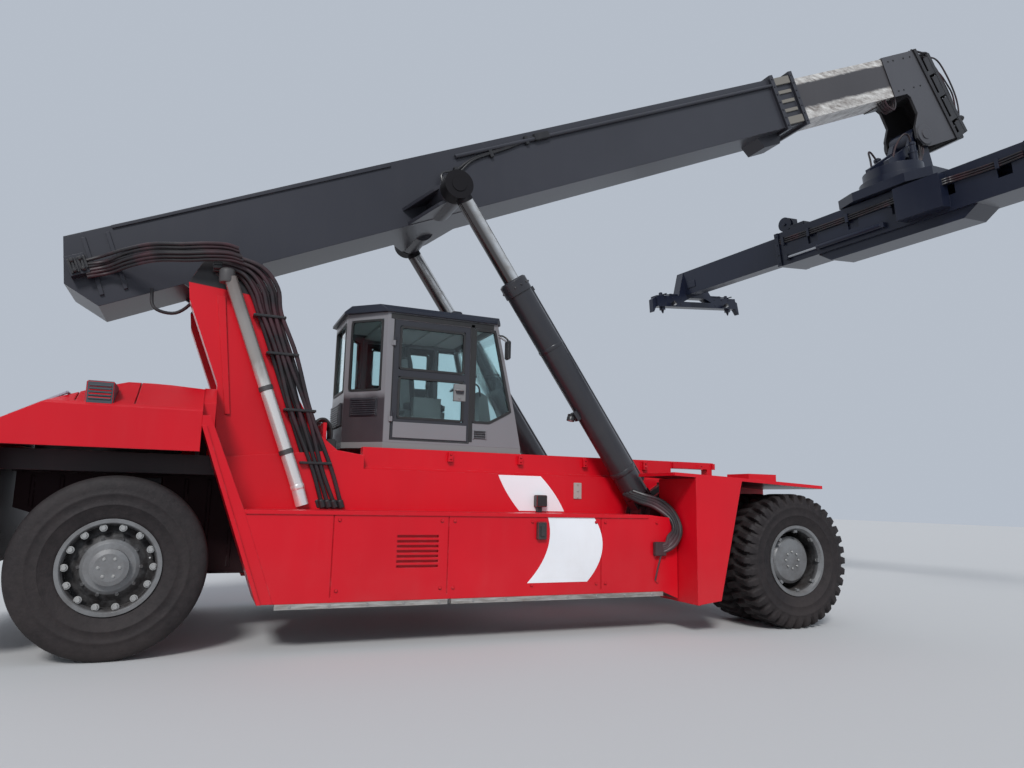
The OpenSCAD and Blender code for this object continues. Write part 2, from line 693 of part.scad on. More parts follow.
module yoke() color("black") hang_frame() {
    back = -turn_back;
    difference() {
        union() {
            bar(0, 0, 200, [-250, 250]);
            // two cheeks and the body between them
            both_sides() plate([150, 250], [[-150, 90], [150, 90], [260, -620], [back - 400, -620], [back - 400, -520], [-300, -180]]);
            plate([-150, 150], [[-110, -60], [110, -60], [180, -620], [-420, -620]]);
            translate([back, 0, ring_z + 120 + slip - hang_drop]) cylinder(r = 520, h = 190);
        }
        bar(0, 0, pin_r + fit, [-251, 251]);
        // hand holes in the cheeks
        bar(back + 120, -500, 70, [-260, 260]);
    }
    // slewing motors on the turning plate
    both_sides() translate([back + 120, 370, ring_z + 310 - hang_drop]) cylinder(r = 75, h = 190);
}

module carriage() color("black") spreader_frame_place() {
    translate([0, 0, ring_z]) cylinder(r = 600, h = 120);
    sheet_flat([main_top + 20, ring_z], [
        [-600, -500], [-420, -900], [420, -900], [600, -500], [600, 500], [420, 900], [-420, 900], [-600, 500]
    ]);
    for (u = [-860, 760]) block([-380, 380], [u, u + 100], [main_top + slip, main_top + 20]);
}

module spreader_frame() color("black") spreader_frame_place() translate([0, side_shift, 0]) {
    mouth = arm_half + arm_gap;
    for (s = [-1, 1]) difference() {
        block([s * arm_v - mouth - tube_wall, s * arm_v + mouth + tube_wall],
              [-main_half, main_half], [main_low + tube_wall, main_top - tube_wall]);
        block([s * arm_v - mouth, s * arm_v + mouth],
              [-main_half - 1, main_half + 1], [arm_w0 - arm_gap, arm_w1 + arm_gap]);
        // hand holes along the outer wall
        for (u = [-1980:880:1980]) block(s > 0 ? [main_v - tube_wall - 1, main_v + 1] : [-main_v - 1, -main_v + tube_wall + 1],
            [u - 110, u + 110], [560, 740]);
    }
    for (z = [main_low, main_top - tube_wall]) block([-main_v, main_v], [-main_half, main_half], [z, z + tube_wall]);
    // wear pads in the mouths of the two tubes
    for (turn = [0, 180]) rotate([0, 0, turn]) for (w = [[arm_w0 - arm_gap, arm_w0 - slip], [arm_w1 + slip, arm_w1 + arm_gap]])
        block([-arm_v - 140, -arm_v + 140], [main_half - 200, main_half - 10], w);
    // bands around the ends, valve cabinet and post at the far end
    for (u = [-main_half, main_half - 90]) for (s = [-1, 1])
        block(s > 0 ? [main_v, main_v + 35] : [-main_v - 35, -main_v], [u, u + 90], [main_low, main_top]);
    for (s = [-1, 1]) block(s > 0 ? [main_v, main_v + 260] : [-main_v - 260, -main_v], [-1100, -300], [main_low + 60, main_top - 60]);
    block([-120, 120], [main_half - 190, main_half - 60], [main_top, main_top + 330]);
    block([-300, 300], [main_half - 620, main_half - 280], [main_top, main_top + 110]);
    // girder under the middle
    plate_across([-main_v + 60, main_v - 60], [[-1500, main_low], [-1250, 110], [1250, 110], [1500, main_low]]);
}

// One telescopic arm with its end beam, corner guides and two twistlocks
module arm() {
    block([-arm_v - arm_half, -arm_v + arm_half], [-arm_root, lock_half - 100], [arm_w0, arm_w1]);
    translate([0, lock_half + 100, 0]) rotate([90, 0, 0]) linear_extrude(200) difference() {
        polygon([
            [-beam_half, 70], [beam_half, 70], [beam_half, 330], [500, 340], [120, arm_w1], [-arm_v - arm_half, arm_w1],
            [-640, 340], [-beam_half, 330]
        ]);
        // lightening cut under the gable
        polygon([[-480, 200], [-260, 300], [260, 300], [480, 200]]);
    }
    // corner guides that hang over the container's corners
    for (s = [-1, 1]) plate([lock_half - 60, lock_half + 60], [
        [s * beam_half, 300], [s * (beam_half + 110), 240], [s * (beam_half + 130), -60], [s * (beam_half + 100), -60], [s * beam_half, 90]
    ]);
    // twistlocks: seat block, round collar and tapered head
    for (v = [-lock_across, lock_across]) translate([v, lock_half, 0]) {
        cylinder(r = 70, h = 75);
        translate([0, 0, -28]) cylinder(r = lock_r, h = 29);
        translate([0, 0, -80]) cylinder(r1 = 12, r2 = lock_r, h = 52);
    }
}

module arm_far() color("black") spreader_frame_place() translate([0, side_shift, 0]) arm();

module arm_near() color("black") spreader_frame_place() translate([0, side_shift, 0]) rotate([0, 0, 180]) arm();

// Cab

// The cab's plan, moved in by t: the rear corners are cut off
function cab_plan(t, front = screen_x + 10) = [
    [cab_x - rear_cut + t, -400 + 0.414 * t], [cab_x + 0.414 * t, -cab_y + t], [front, -cab_y + t],
    [front, cab_y - t], [cab_x + 0.414 * t, cab_y - t], [cab_x - rear_cut + t, 400 - 0.414 * t]
];

// The cab's side outline between its floor and eaves, moved in by t
function cab_side(t) = [
    [cab_x - rear_cut - 1 + t, cab_z - t], [screen_x - 0.9 * t, cab_z - t], [screen_x - 80 - t, cab_z + 400],
    [brow_x - t, eaves_z + t], [cab_x - rear_cut - 1 + t, eaves_z + t]
];

// Origin in the middle of the right angled rear wall, X along it and Y inwards
module rear_side() translate([cab_x - rear_cut / 2, -(cab_y + 400) / 2, 0]) rotate([0, 0, -45]) children();

module cab_form(t) intersection() {
    plate([-cab_y + t, cab_y - t], cab_side(t));
    sheet_flat([cab_z - 100, eaves_z + 100], cab_plan(t));
}

// Outline of a front side window
function quarter_light() = [
    [cab_x + 1085, 2380], [cab_x + 1310, 2380], [screen_x - 130, 2540], [brow_x - 22, 3560], [cab_x + 1085, 3560]
];

module cab_floor() color("dimgray") {
    sheet_flat([rail_z + slip, cab_z], cab_plan(0, screen_x));
    // seat, console and steering column
    block([cab_x + 330, cab_x + 880], [-220, 220], [cab_z, 2330]);
    block([cab_x + 380, cab_x + 900], [-270, 270], [2330, 2550]);
    translate([cab_x + 330, 0, 2550]) rotate([0, -6, 0]) block([0, 130], [-250, 250], [-20, 640]);
    block([cab_x + 450, cab_x + 800], [-420, -300], [2330, 2700]);
    plate([-260, 260], [[cab_x + 1370, cab_z], [cab_x + 1600, cab_z], [cab_x + 1480, 2800], [cab_x + 1370, 2860]]);
    strut([cab_x + 1400, 0, 2750], [cab_x + 1250, 0, 2960], 30);
}

module cab_shell() color("lightgray") {
    w = cab_wall;
    difference() {
        cab_form(0);
        cab_form(w);
        // door openings
        block([door_x - 5, door_end_x + 5], [-cab_y - 1, cab_y + 1], [cab_z + 40, 3560]);
        // front side windows and windscreen
        plate([-cab_y - 1, cab_y + 1], quarter_light());
        block([brow_x - 160, screen_x + 50], [-cab_y + 110, cab_y - 110], [2250, 3560]);
        // rear windows: middle and two angled sides
        block([cab_x - rear_cut - 10, cab_x - rear_cut + w + 10], [-340, 340], [2700, 3560]);
        both_sides() rear_side() block([-225, 225], [-10, w + 10], [2700, 3560]);
    }
    both_sides() {
        hinge_leaves(-60 + slip, -30);
        // vent on the front lower side panel
        for (k = [0:3]) block([cab_x + 1110, cab_x + 1260], [cab_y, cab_y + 8], [2200 + 26 * k, 2212 + 26 * k]);
        block([cab_x + 1095, cab_x + 1110], [cab_y, cab_y + 10], [2190, 2300]);
        block([cab_x + 1260, cab_x + 1275], [cab_y, cab_y + 10], [2190, 2300]);
        // mirror on its arm
        strut([cab_x + 1400, cab_y - 10, 3500], [cab_x + 1500, cab_y + 75, 3410], 12);
        block([cab_x + 1490, cab_x + 1515], [cab_y + 25, cab_y + 125], [3200, 3420]);
    }
}

// Two hinge knuckles and leaves, z0 above each hinge's middle, leaf toward dx
module hinge_leaves(z0, dx) for (z = [2400, 3300]) {
    translate([door_x, cab_y + hinge_out, z + z0]) cylinder(r = 14, h = 60 - 2 * slip);
    block([min(door_x, door_x + dx), max(door_x, door_x + dx)], [cab_y, cab_y + hinge_out], [z + z0, z + z0 + 60 - 2 * slip]);
}

module cab_roof() color("dimgray") {
    x1 = brow_x + 60;
    difference() {
        sheet_flat([eaves_z, cab_top], [
            [cab_x - rear_cut - 50, -430], [cab_x - 30, -cab_y - 30], [x1 - 80, -cab_y - 30], [x1, -cab_y + 60],
            [x1, cab_y - 60], [x1 - 80, cab_y + 30], [cab_x - 30, cab_y + 30], [cab_x - rear_cut - 50, 430]
        ]);
        // sloping edges
        both_sides() translate([0, cab_y + 30, eaves_z + 30]) rotate([45, 0, 0]) block([cab_x - rear_cut - 200, x1 + 200], [0, 200], [-10, 300]);
        translate([x1, 0, eaves_z + 30]) rotate([0, -30, 0]) block([0, 300], [-cab_y - 100, cab_y + 100], [-10, 300]);
        translate([cab_x - rear_cut - 50, 0, eaves_z + 30]) rotate([0, 50, 0]) block([-300, 0], [-cab_y - 100, cab_y + 100], [-10, 400]);
    }
}

module cab_glass() color("lightblue") {
    t = 10;
    m = cab_wall / 2;
    both_sides() plate([cab_y - m, cab_y - m + t], quarter_light());
    block([cab_x - rear_cut + m, cab_x - rear_cut + m + t], [-340, 340], [2700, 3560]);
    both_sides() rear_side() block([-225, 225], [m, m + t], [2700, 3560]);
    // windscreen, its face parallel to the sloping front
    plate([-cab_y + 110, cab_y - 110], [
        [screen_x - 57, 2250], [screen_x - 47, 2250], [screen_x - 101, 2500], [brow_x - 12, 3560], [brow_x - 22, 3560], [screen_x - 111, 2500]
    ]);
}

module door(side) color("dimgray") on_side(side) {
    y = [cab_y - cab_wall - 1, cab_y + 1];
    difference() {
        block([door_x, door_end_x], [cab_y - cab_wall, cab_y], [cab_z + 45, 3555]);
        // upper and lower windows
        block([door_x + 65, door_end_x - 65], y, [2960, 3490]);
        plate(y, [[door_x + 65, 2380], [door_end_x - 65, 2380], [door_end_x - 65, 2880], [door_x + 65, 2880]]);
    }
    hinge_leaves(slip, 30);
    // handle plate and pull
    block([door_end_x - 190, door_end_x - 50], [cab_y - 30, cab_y + 10], [2640, 2840]);
    block([door_end_x - 170, door_end_x - 80], [cab_y + 10, cab_y + 32], [2730, 2755]);
}

module door_glass(side) color("lightblue") on_side(side) {
    block([door_x + 65, door_end_x - 65], [cab_y - 45, cab_y - 35], [2960, 3490]);
    block([door_x + 65, door_end_x - 65], [cab_y - 45, cab_y - 35], [2380, 2880]);
}

frame();
counterweight();
hood();
engine_block();
side_boxes();
step_bars();
rear_fenders();
front_fenders();
cab_rails();
exhaust();
hoses();
drive_axle();
steer_axle();
lamps();
handrails();
front_tyres(-1);  // front_tyres_r
front_rims(-1);  // front_rims_r
front_tyres(1);  // front_tyres_l
front_rims(1);  // front_rims_l
knuckle(-1);  // knuckle_r
knuckle(1);  // knuckle_l
rear_tyre(-1);  // rear_tyre_r
rear_rim(-1);  // rear_rim_r
rear_tyre(1);  // rear_tyre_l
rear_rim(1);  // rear_rim_l
boom_outer();
boom_inner();
boom_nose();
barrel(-1);  // barrel_r
rod(-1);  // rod_r
barrel(1);  // barrel_l
rod(1);  // rod_l
yoke();
carriage();
spreader_frame();
arm_far();
arm_near();
cab_floor();
cab_shell();
cab_roof();
cab_glass();
door(-1);  // door_r
door(1);  // door_l
door_glass(-1);  // door_glass_r
door_glass(1);  // door_glass_l
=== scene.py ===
import math

import bmesh
import bpy
from mathutils import Matrix, Vector


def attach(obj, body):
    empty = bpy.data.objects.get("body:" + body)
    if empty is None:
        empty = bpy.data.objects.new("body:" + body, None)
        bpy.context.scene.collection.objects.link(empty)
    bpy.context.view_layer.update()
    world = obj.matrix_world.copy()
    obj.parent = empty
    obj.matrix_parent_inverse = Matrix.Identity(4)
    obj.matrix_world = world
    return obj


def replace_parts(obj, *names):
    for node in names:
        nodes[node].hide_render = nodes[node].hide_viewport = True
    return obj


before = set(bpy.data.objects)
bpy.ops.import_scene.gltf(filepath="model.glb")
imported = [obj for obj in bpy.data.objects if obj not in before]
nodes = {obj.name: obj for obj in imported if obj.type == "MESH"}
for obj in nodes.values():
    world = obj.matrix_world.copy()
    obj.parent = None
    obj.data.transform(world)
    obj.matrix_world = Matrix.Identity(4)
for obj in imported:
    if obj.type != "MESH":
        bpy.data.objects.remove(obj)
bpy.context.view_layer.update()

# Studio
# A pale floor under a wide soft sky and one large lamp high on the right.
# The camera stands low beside the rear wheel and looks up along the boom.


def turned_by(degrees, axis):
    return Matrix.Rotation(math.radians(degrees), 4, axis)


camera_data = bpy.data.cameras.new("camera")
camera_data.sensor_width = 36
camera_data.lens = 25.54
camera_data.clip_end = 200
camera = bpy.data.objects.new("camera", camera_data)
camera.matrix_world = (Matrix.Translation((-6.832, -9.071, 1.482)) @ turned_by(-22.953, "Z")
    @ turned_by(98.997, "X") @ turned_by(1.239, "Z"))
bpy.context.scene.collection.objects.link(camera)
bpy.context.scene.camera = camera


def feed(source, target):
    """Links a socket to an input, or sets the input to a plain value."""
    if hasattr(source, "is_linked"):
        target.id_data.links.new(source, target)
    elif target.type == "RGBA":
        target.default_value = (*source, 1)
    else:
        target.default_value = source


def knot(tree, kind, **settings):
    """Adds a node. A setting with an input's name, _ for a space, feeds that input."""
    made = tree.nodes.new(kind)
    for key, value in settings.items():
        label = key.replace("_", " ")
        if label in made.inputs.keys():
            feed(value, made.inputs[label])
        else:
            setattr(made, key, value)
    return made


def blank_finish(name, **values):
    """A material with a Principled shader; gives its tree and its shader too."""
    finish = bpy.data.materials.new(name)
    finish.use_nodes = True
    shader = finish.node_tree.nodes["Principled BSDF"]
    for label, value in values.items():
        feed(value, shader.inputs[label.replace("_", " ")])
    return finish, finish.node_tree, shader


floor_finish, tree, shader = blank_finish("studio_floor", Roughness=0.85)
speckle = knot(tree, "ShaderNodeTexNoise", Scale=1.3, Detail=4.0)
tone = knot(tree, "ShaderNodeMapRange", To_Min=0.5, To_Max=0.56, Value=speckle.outputs["Fac"])
feed(tone.outputs["Result"], shader.inputs["Base Color"])

FLOOR_REACH = 60.0
floor_mesh = bpy.data.meshes.new("floor")
floor_mesh.from_pydata([(x * FLOOR_REACH, y * FLOOR_REACH, 0) for x,
    y in ((-1, -1), (1, -1), (1, 1), (-1, 1))], [], [(0, 1, 2, 3)])
floor_mesh.materials.append(floor_finish)
floor = bpy.data.objects.new("floor", floor_mesh)
bpy.context.scene.collection.objects.link(floor)

sky = bpy.data.worlds.new("studio_sky")
sky.use_nodes = True
sky.node_tree.nodes["Background"].inputs["Color"].default_value = (0.8, 0.88, 1.0, 1)
sky.node_tree.nodes["Background"].inputs["Strength"].default_value = 0.58
bpy.context.scene.world = sky
bpy.context.scene.view_settings.view_transform = "Standard"


def sun(name, strength, spread, tilt, turn):
    lamp = bpy.data.lights.new(name, "SUN")
    lamp.energy = strength
    lamp.angle = math.radians(spread)
    lamp_object = bpy.data.objects.new(name, lamp)
    lamp_object.rotation_euler = (math.radians(tilt), 0, math.radians(turn))
    bpy.context.scene.collection.objects.link(lamp_object)


sun("key", 2.2, 14, 50, -28)
sun("fill", 0.25, 60, 62, -150)

# Frame, tower and fenders
# Welded plate: two box beams, the tower that carries the boom, side boxes and
# fenders, sprayed in one bright red. Paint dulls with dust near the ground and
# along the top faces, and rubs thin on the edges.


def effect(name, takes, gives):
    """A node group, with what its inputs give and what its outputs take."""
    group = bpy.data.node_groups.new(name, "ShaderNodeTree")
    for label, kind, start in takes:
        socket = group.interface.new_socket(label, in_out="INPUT", socket_type="NodeSocket" + kind)
        socket.default_value = start
    for label, kind in gives:
        group.interface.new_socket(label, in_out="OUTPUT", socket_type="NodeSocket" + kind)
    return group, knot(group, "NodeGroupInput").outputs, knot(group, "NodeGroupOutput").inputs


def scaled(value, low, high, to_low=0.0, to_high=1.0):
    """A value mapped from low..high to to_low..to_high, held at the ends."""
    made = knot(value.id_data, "ShaderNodeMapRange", Value=value, From_Min=low, From_Max=high,
        To_Min=to_low, To_Max=to_high)
    return made.outputs["Result"]


def sums(kind, first, second):
    """A sum of two values, of which one at least is a socket."""
    tree = (first if hasattr(first, "is_linked") else second).id_data
    made = knot(tree, "ShaderNodeMath", operation=kind)
    feed(first, made.inputs[0])
    feed(second, made.inputs[1])
    return made.outputs[0]


def times(first, second):
    return sums("MULTIPLY", first, second)


def blended(amount, first, second):
    """Two colours mixed by amount; each is a socket or a colour."""
    made = knot(amount.id_data, "ShaderNodeMix", data_type="RGBA")
    for index, value in ((0, amount), (6, first), (7, second)):
        feed(value, made.inputs[index])
    return made.outputs[2]


def stretched(tree, scale):
    """Object coordinates stretched by three factors."""
    place = knot(tree, "ShaderNodeTexCoord").outputs["Object"]
    return knot(tree, "ShaderNodeMapping", Scale=scale, Vector=place).outputs["Vector"]


def noise(tree, size, detail=5.0, rough=0.6, stretch=(1, 1, 1)):
    place = stretched(tree, stretch)
    made = knot(tree, "ShaderNodeTexNoise", Vector=place, Scale=size, Detail=detail, Roughness=rough)
    return made.outputs["Fac"]


def axes(tree, kind="ShaderNodeTexCoord", output="Object"):
    """X, Y and Z of a point on the object, or of its normal."""
    return knot(tree, "ShaderNodeSeparateXYZ", Vector=knot(tree, kind).outputs[output]).outputs


def facing_up(tree):
    """How far a face looks up, from -1 to 1."""
    return axes(tree, "ShaderNodeNewGeometry", "Normal")["Z"]


# Dust and dried splashes: more of it low down and on faces that look up.
grime, takes, gives = effect("road_dust", [("Paint", "Color", (0.5, 0.5, 0.5, 1)),
    ("Dust", "Color", (0.3, 0.27, 0.24, 1)), ("Amount", "Float", 0.5), ("Reach", "Float", 1.4)],
    [("Color", "Color"), ("Mask", "Float"), ("Height", "Float")])
low_down = scaled(sums("SUBTRACT", 1.0, sums("DIVIDE", axes(grime)["Z"], takes["Reach"])), 0.0, 1.0)
upward = scaled(facing_up(grime), 0.5, 1.0)
patches = scaled(noise(grime, 1.6, 7.0, 0.68), 0.4, 0.72)
runs = scaled(noise(grime, 1.7, 5.0, 0.6, (5, 5, 0.5)), 0.46, 0.74)
cover = sums("ADD", times(low_down, 0.75), times(upward, 0.35))
cover = sums("ADD", cover, times(runs, 0.16))
cover = times(cover, sums("ADD", times(patches, 0.8), 0.2))
cover = scaled(times(cover, takes["Amount"]), 0.0, 1.0)
wide = scaled(noise(grime, 0.55, 3.0), 0.3, 0.7, 0.9, 1.07)
toned = knot(grime, "ShaderNodeVectorMath", operation="SCALE", Vector=takes["Paint"], Scale=wide)
feed(blended(cover, toned.outputs[0], takes["Dust"]), gives["Color"])
feed(cover, gives["Mask"])
feed(noise(grime, 38.0, 3.0), gives["Height"])

# Rounded edges, and paint rubbed off them in places.
rub, takes, gives = effect("rubbed_edges", [("Width", "Float", 0.012), ("Amount", "Float", 0.5)],
    [("Edge", "Float"), ("Normal", "Vector")])
soft_edge = knot(rub, "ShaderNodeBevel", samples=4, Radius=takes["Width"]).outputs["Normal"]
turn = knot(rub, "ShaderNodeVectorMath", operation="DOT_PRODUCT", Vector=soft_edge)
feed(knot(rub, "ShaderNodeNewGeometry").outputs["Normal"], turn.inputs[1])
edge = scaled(turn.outputs["Value"], 0.99, 0.8)
edge = times(edge, scaled(noise(rub, 9.0, 6.0, 0.7), 0.5, 0.62))
feed(times(edge, takes["Amount"]), gives["Edge"])
feed(soft_edge, gives["Normal"])


DUST = (0.3, 0.27, 0.245)


def coat(name, colour, dust=DUST, amount=0.5, reach=1.4, gloss=(0.34, 0.75), bare=(0.32, 0.29, 0.28),
        edge=0.4, width=0.01, bump=0.04, metal=0.0, clear=0.0, shine=0.5):
    """A sprayed finish with dust, rubbed edges and a slight orange peel. Its
    colour is plain, or a function that draws it in the material's tree."""
    finish, tree, shader = blank_finish(name, Metallic=metal, Coat_Weight=clear, Specular_IOR_Level=shine,
        Coat_Roughness=0.2)
    base = colour(tree) if callable(colour) else colour
    dirt = knot(tree, "ShaderNodeGroup", node_tree=grime, Paint=base, Dust=dust, Amount=amount,
        Reach=reach).outputs
    worn = knot(tree, "ShaderNodeGroup", node_tree=rub, Width=width, Amount=edge).outputs
    feed(blended(worn["Edge"], dirt["Color"], bare), shader.inputs["Base Color"])
    feed(scaled(dirt["Mask"], 0.0, 1.0, *gloss), shader.inputs["Roughness"])
    peel = knot(tree, "ShaderNodeBump", Strength=bump, Distance=0.01, Height=dirt["Height"],
        Normal=worn["Normal"])
    feed(peel.outputs["Normal"], shader.inputs["Normal"])
    return finish


def dress(finish, *names):
    for name in names:
        slots = nodes[name].data.materials
        slots.clear()
        slots.append(finish)


RED = (0.6, 0.002, 0.012)
# A dark red that stands for the red paint in shade: painted shade.
RED_IN_SHADE = (0.022, 0.004, 0.007)
BLACKED = (0.02, 0.019, 0.021)


def shade_painted_below(tree, paint):
    """Paint drawn dark red on the faces that look down: painted shade."""
    return blended(scaled(facing_up(tree), -0.35, -0.8), paint, RED_IN_SHADE)


def red_all_round(tree):
    return shade_painted_below(tree, RED)


def red_frame(tree):
    """Red, but black on the pivot and the ram lugs, and dark red low in the rear wheel arch as painted
    shade.
    """
    place = axes(tree)
    lean = sums("ADD", place["Z"], times(place["X"], 0.1))
    head = scaled(lean, 2.965, 2.975)
    out = sums("ABSOLUTE", place["Y"], 0.0)
    lugs = times(scaled(out, 0.955, 0.96), scaled(place["X"], -2.3, -2.28))
    # Painted shade: the frame low in the rear wheel arch turns dark red.
    behind = scaled(place["X"], -6.6, -6.66)
    low = scaled(place["Z"], 1.95, 1.9)
    arch = times(behind, low)
    arch_shaded_red = blended(arch, RED, RED_IN_SHADE)
    return shade_painted_below(tree, blended(sums("MAXIMUM", head, lugs), arch_shaded_red, BLACKED))


PAINT = dict(dust=(0.42, 0.16, 0.15), amount=0.26, reach=1.0, bare=(0.62, 0.16, 0.17), edge=0.5, clear=0.12,
    shine=0.3, gloss=(0.36, 0.7))
red_paint = coat("red_paint", red_all_round, **PAINT)
frame_paint = coat("frame_paint", red_frame, **PAINT)
dress(red_paint, "hood", "side_boxes", "rear_fenders", "front_fenders", "cab_rails")
dress(frame_paint, "frame")
cast_paint = coat("axle_casting", (0.028, 0.027, 0.03), amount=0.9, reach=1.6, gloss=(0.5, 0.85), bump=0.2)
dress(cast_paint, "drive_axle", "steer_axle", "knuckle_r", "knuckle_l", "engine_block")


def new_piece(name, bm, body, finish, crease=32, outward=False):
    """Turns a bmesh into a piece that rides on a body and has one finish."""
    if outward:
        bmesh.ops.recalc_face_normals(bm, faces=bm.faces)
    bm.normal_update()
    mesh = bpy.data.meshes.new(name)
    bm.to_mesh(mesh)
    bm.free()
    mesh.materials.append(finish)
    mesh.shade_smooth()
    mesh.set_sharp_from_angle(angle=math.radians(crease))
    piece = bpy.data.objects.new(name, mesh)
    bpy.context.scene.collection.objects.link(piece)
    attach(piece, body)
    return piece


LEVEL = Matrix.Identity(4)


def block_into(bm, corner, opposite, place=LEVEL, soft=0.004):
    """A box between two opposite corners, with bevelled edges."""
    low = Vector([min(pair) for pair in zip(corner, opposite)])
    high = Vector([max(pair) for pair in zip(corner, opposite)])
    shape = place @ Matrix.Translation((low + high) / 2) @ Matrix.Diagonal((*(high - low), 1))
    corners = bmesh.ops.create_cube(bm, size=1, matrix=shape)["verts"]
    if soft:
        edges = list(dict.fromkeys(edge for corner in corners for edge in corner.link_edges))
        bmesh.ops.bevel(bm, geom=edges, offset=soft, segments=2, affect="EDGES", clamp_overlap=True)


def blocks_into(bm, place, *boxes):
    """Boxes in one frame: two corners each, and how far the edges are bevelled."""
    for corner, opposite, soft in boxes:
        block_into(bm, corner, opposite, place, soft)


def axis_matrix(at, out):
    """A frame at a point whose Z looks along out."""
    turn = Vector(out).to_track_quat("Z", "Y").to_matrix().to_4x4()
    return Matrix.Translation(at) @ turn


def round_points(count, radius, offset=0.0):
    """Pairs of distances round a circle; offset is a share of one step."""
    turns = [2 * math.pi * (k + offset) / count for k in range(count)]
    return [(radius * math.cos(turn), radius * math.sin(turn)) for turn in turns]


def skin(bm, rings):
    """Faces between each ring of points and the next."""
    for lower, upper in zip(rings, rings[1:]):
        for n in range(len(lower)):
            m = (n + 1) % len(lower)
            corners = list(dict.fromkeys((lower[n], lower[m], upper[m], upper[n])))
            if len(corners) > 2:
                bm.faces.new(corners)


def turned_into(bm, place, profile, sides=32, hollow=False):
    """A turned shape: profile is radius and height along Z. A hollow one is a ring, with no ends."""
    rings = []
    for radius, height in profile:
        if radius < 1e-6:
            rings.append([bm.verts.new(place @ Vector((0, 0, height)))] * sides)
        else:
            rings.append([bm.verts.new(place @ Vector((x, y, height))) for x,
                y in round_points(sides, radius)])
    skin(bm, rings + rings[:1] if hollow else rings)
    for ring in (rings[0][::-1], rings[-1]):
        if not hollow and ring[0] is not ring[1]:
            bm.faces.new(ring)


def bolt_into(bm, at, out, size, place=LEVEL):
    """A washer under a chamfered hexagon head; size is the head's radius."""
    seat = axis_matrix(place @ Vector(at), place.to_3x3() @ Vector(out))
    for profile, sides in (([(0, 0), (1.35, 0), (1.35, 0.18), (0, 0.18)], 20),
            ([(0, 0.18), (1, 0.18), (1, 0.8), (0.86, 0.95), (0, 0.95)], 6)):
        turned_into(bm, seat, [(radius * size, height * size) for radius, height in profile], sides)


def bolts_into(bm, points, out, size, place=LEVEL):
    for at in points:
        bolt_into(bm, at, out, size, place)


def smooth_route(points, steps=6):
    """Points along a Catmull-Rom curve through the given ones."""
    points = [Vector(p) for p in points]
    ends = [2 * points[0] - points[1]] + points + [2 * points[-1] - points[-2]]
    route = []
    for a, b, c, d in zip(ends, ends[1:], ends[2:], ends[3:]):
        for k in range(steps):
            t = k / steps
            route.append(0.5 * (2 * b + (c - a) * t + (2 * a - 5 * b + 4 * c - d) * t * t
                + (3 * b - a - 3 * c + d) * t ** 3))
    return route + [points[-1]]


def tube_into(bm, points, radius, sides=10, place=LEVEL, steps=6, closed_ends=True):
    """A round tube along a smooth curve through points."""
    route = smooth_route([place @ Vector(p) for p in points], steps)
    side = None
    rings = []
    for k, here in enumerate(route):
        along = (route[min(k + 1, len(route) - 1)] - route[max(k - 1, 0)]).normalized()
        side = along.orthogonal() if side is None else side - along * side.dot(along)
        side.normalize()
        other = along.cross(side)
        rings.append([bm.verts.new(here + x * side + y * other) for x, y in round_points(sides, radius)])
    skin(bm, rings)
    if closed_ends:
        bm.faces.new(rings[0][::-1])
        bm.faces.new(rings[-1])


def sheet_into(bm, outline, y, thick):
    """A flat plate with its outline in X and Z, standing out from y by thick."""
    rings = [[bm.verts.new((x, out, z)) for x, z in outline] for out in (y, y + thick)]
    for ring in rings:
        bm.faces.new(ring)
    skin(bm, rings)


black_paint = coat("black_paint", (0.018, 0.018, 0.02), amount=0.6, edge=0.3, width=0.004, bump=0.05)
dull_steel = coat("dull_steel", (0.1, 0.095, 0.095), amount=0.5, edge=0.4, metal=0.5,
    gloss=(0.45, 0.75), width=0.003)
bare_steel = coat("zinc_steel", (0.42, 0.42, 0.41), amount=0.6, edge=0.0, metal=0.8,
    gloss=(0.38, 0.7), width=0.002)

# Screws and hinge pins along the side boxes and the rails.
SIDES = ((-1, "r"), (1, "l"))
BOX_FACE_Y = 1.68
RAIL_Y = 0.85
for side, name in SIDES:
    bm = bmesh.new()
    bolts_into(bm, [(x, side * BOX_FACE_Y, z) for x in (-5.52, -4.46, -4.32, -3.42, -2.62, -2.5, -1.8)
        for z in (0.56, 1.24)], (0, side, 0), 0.014)
    bolts_into(bm, [(-4.13 + 0.9 * k, side * (RAIL_Y + 0.05), z) for k in range(5) for z in (1.935, 1.985)],
        (0, side, 0), 0.012)
    new_piece("panel_screws_" + name, bm, "chassis", red_paint)
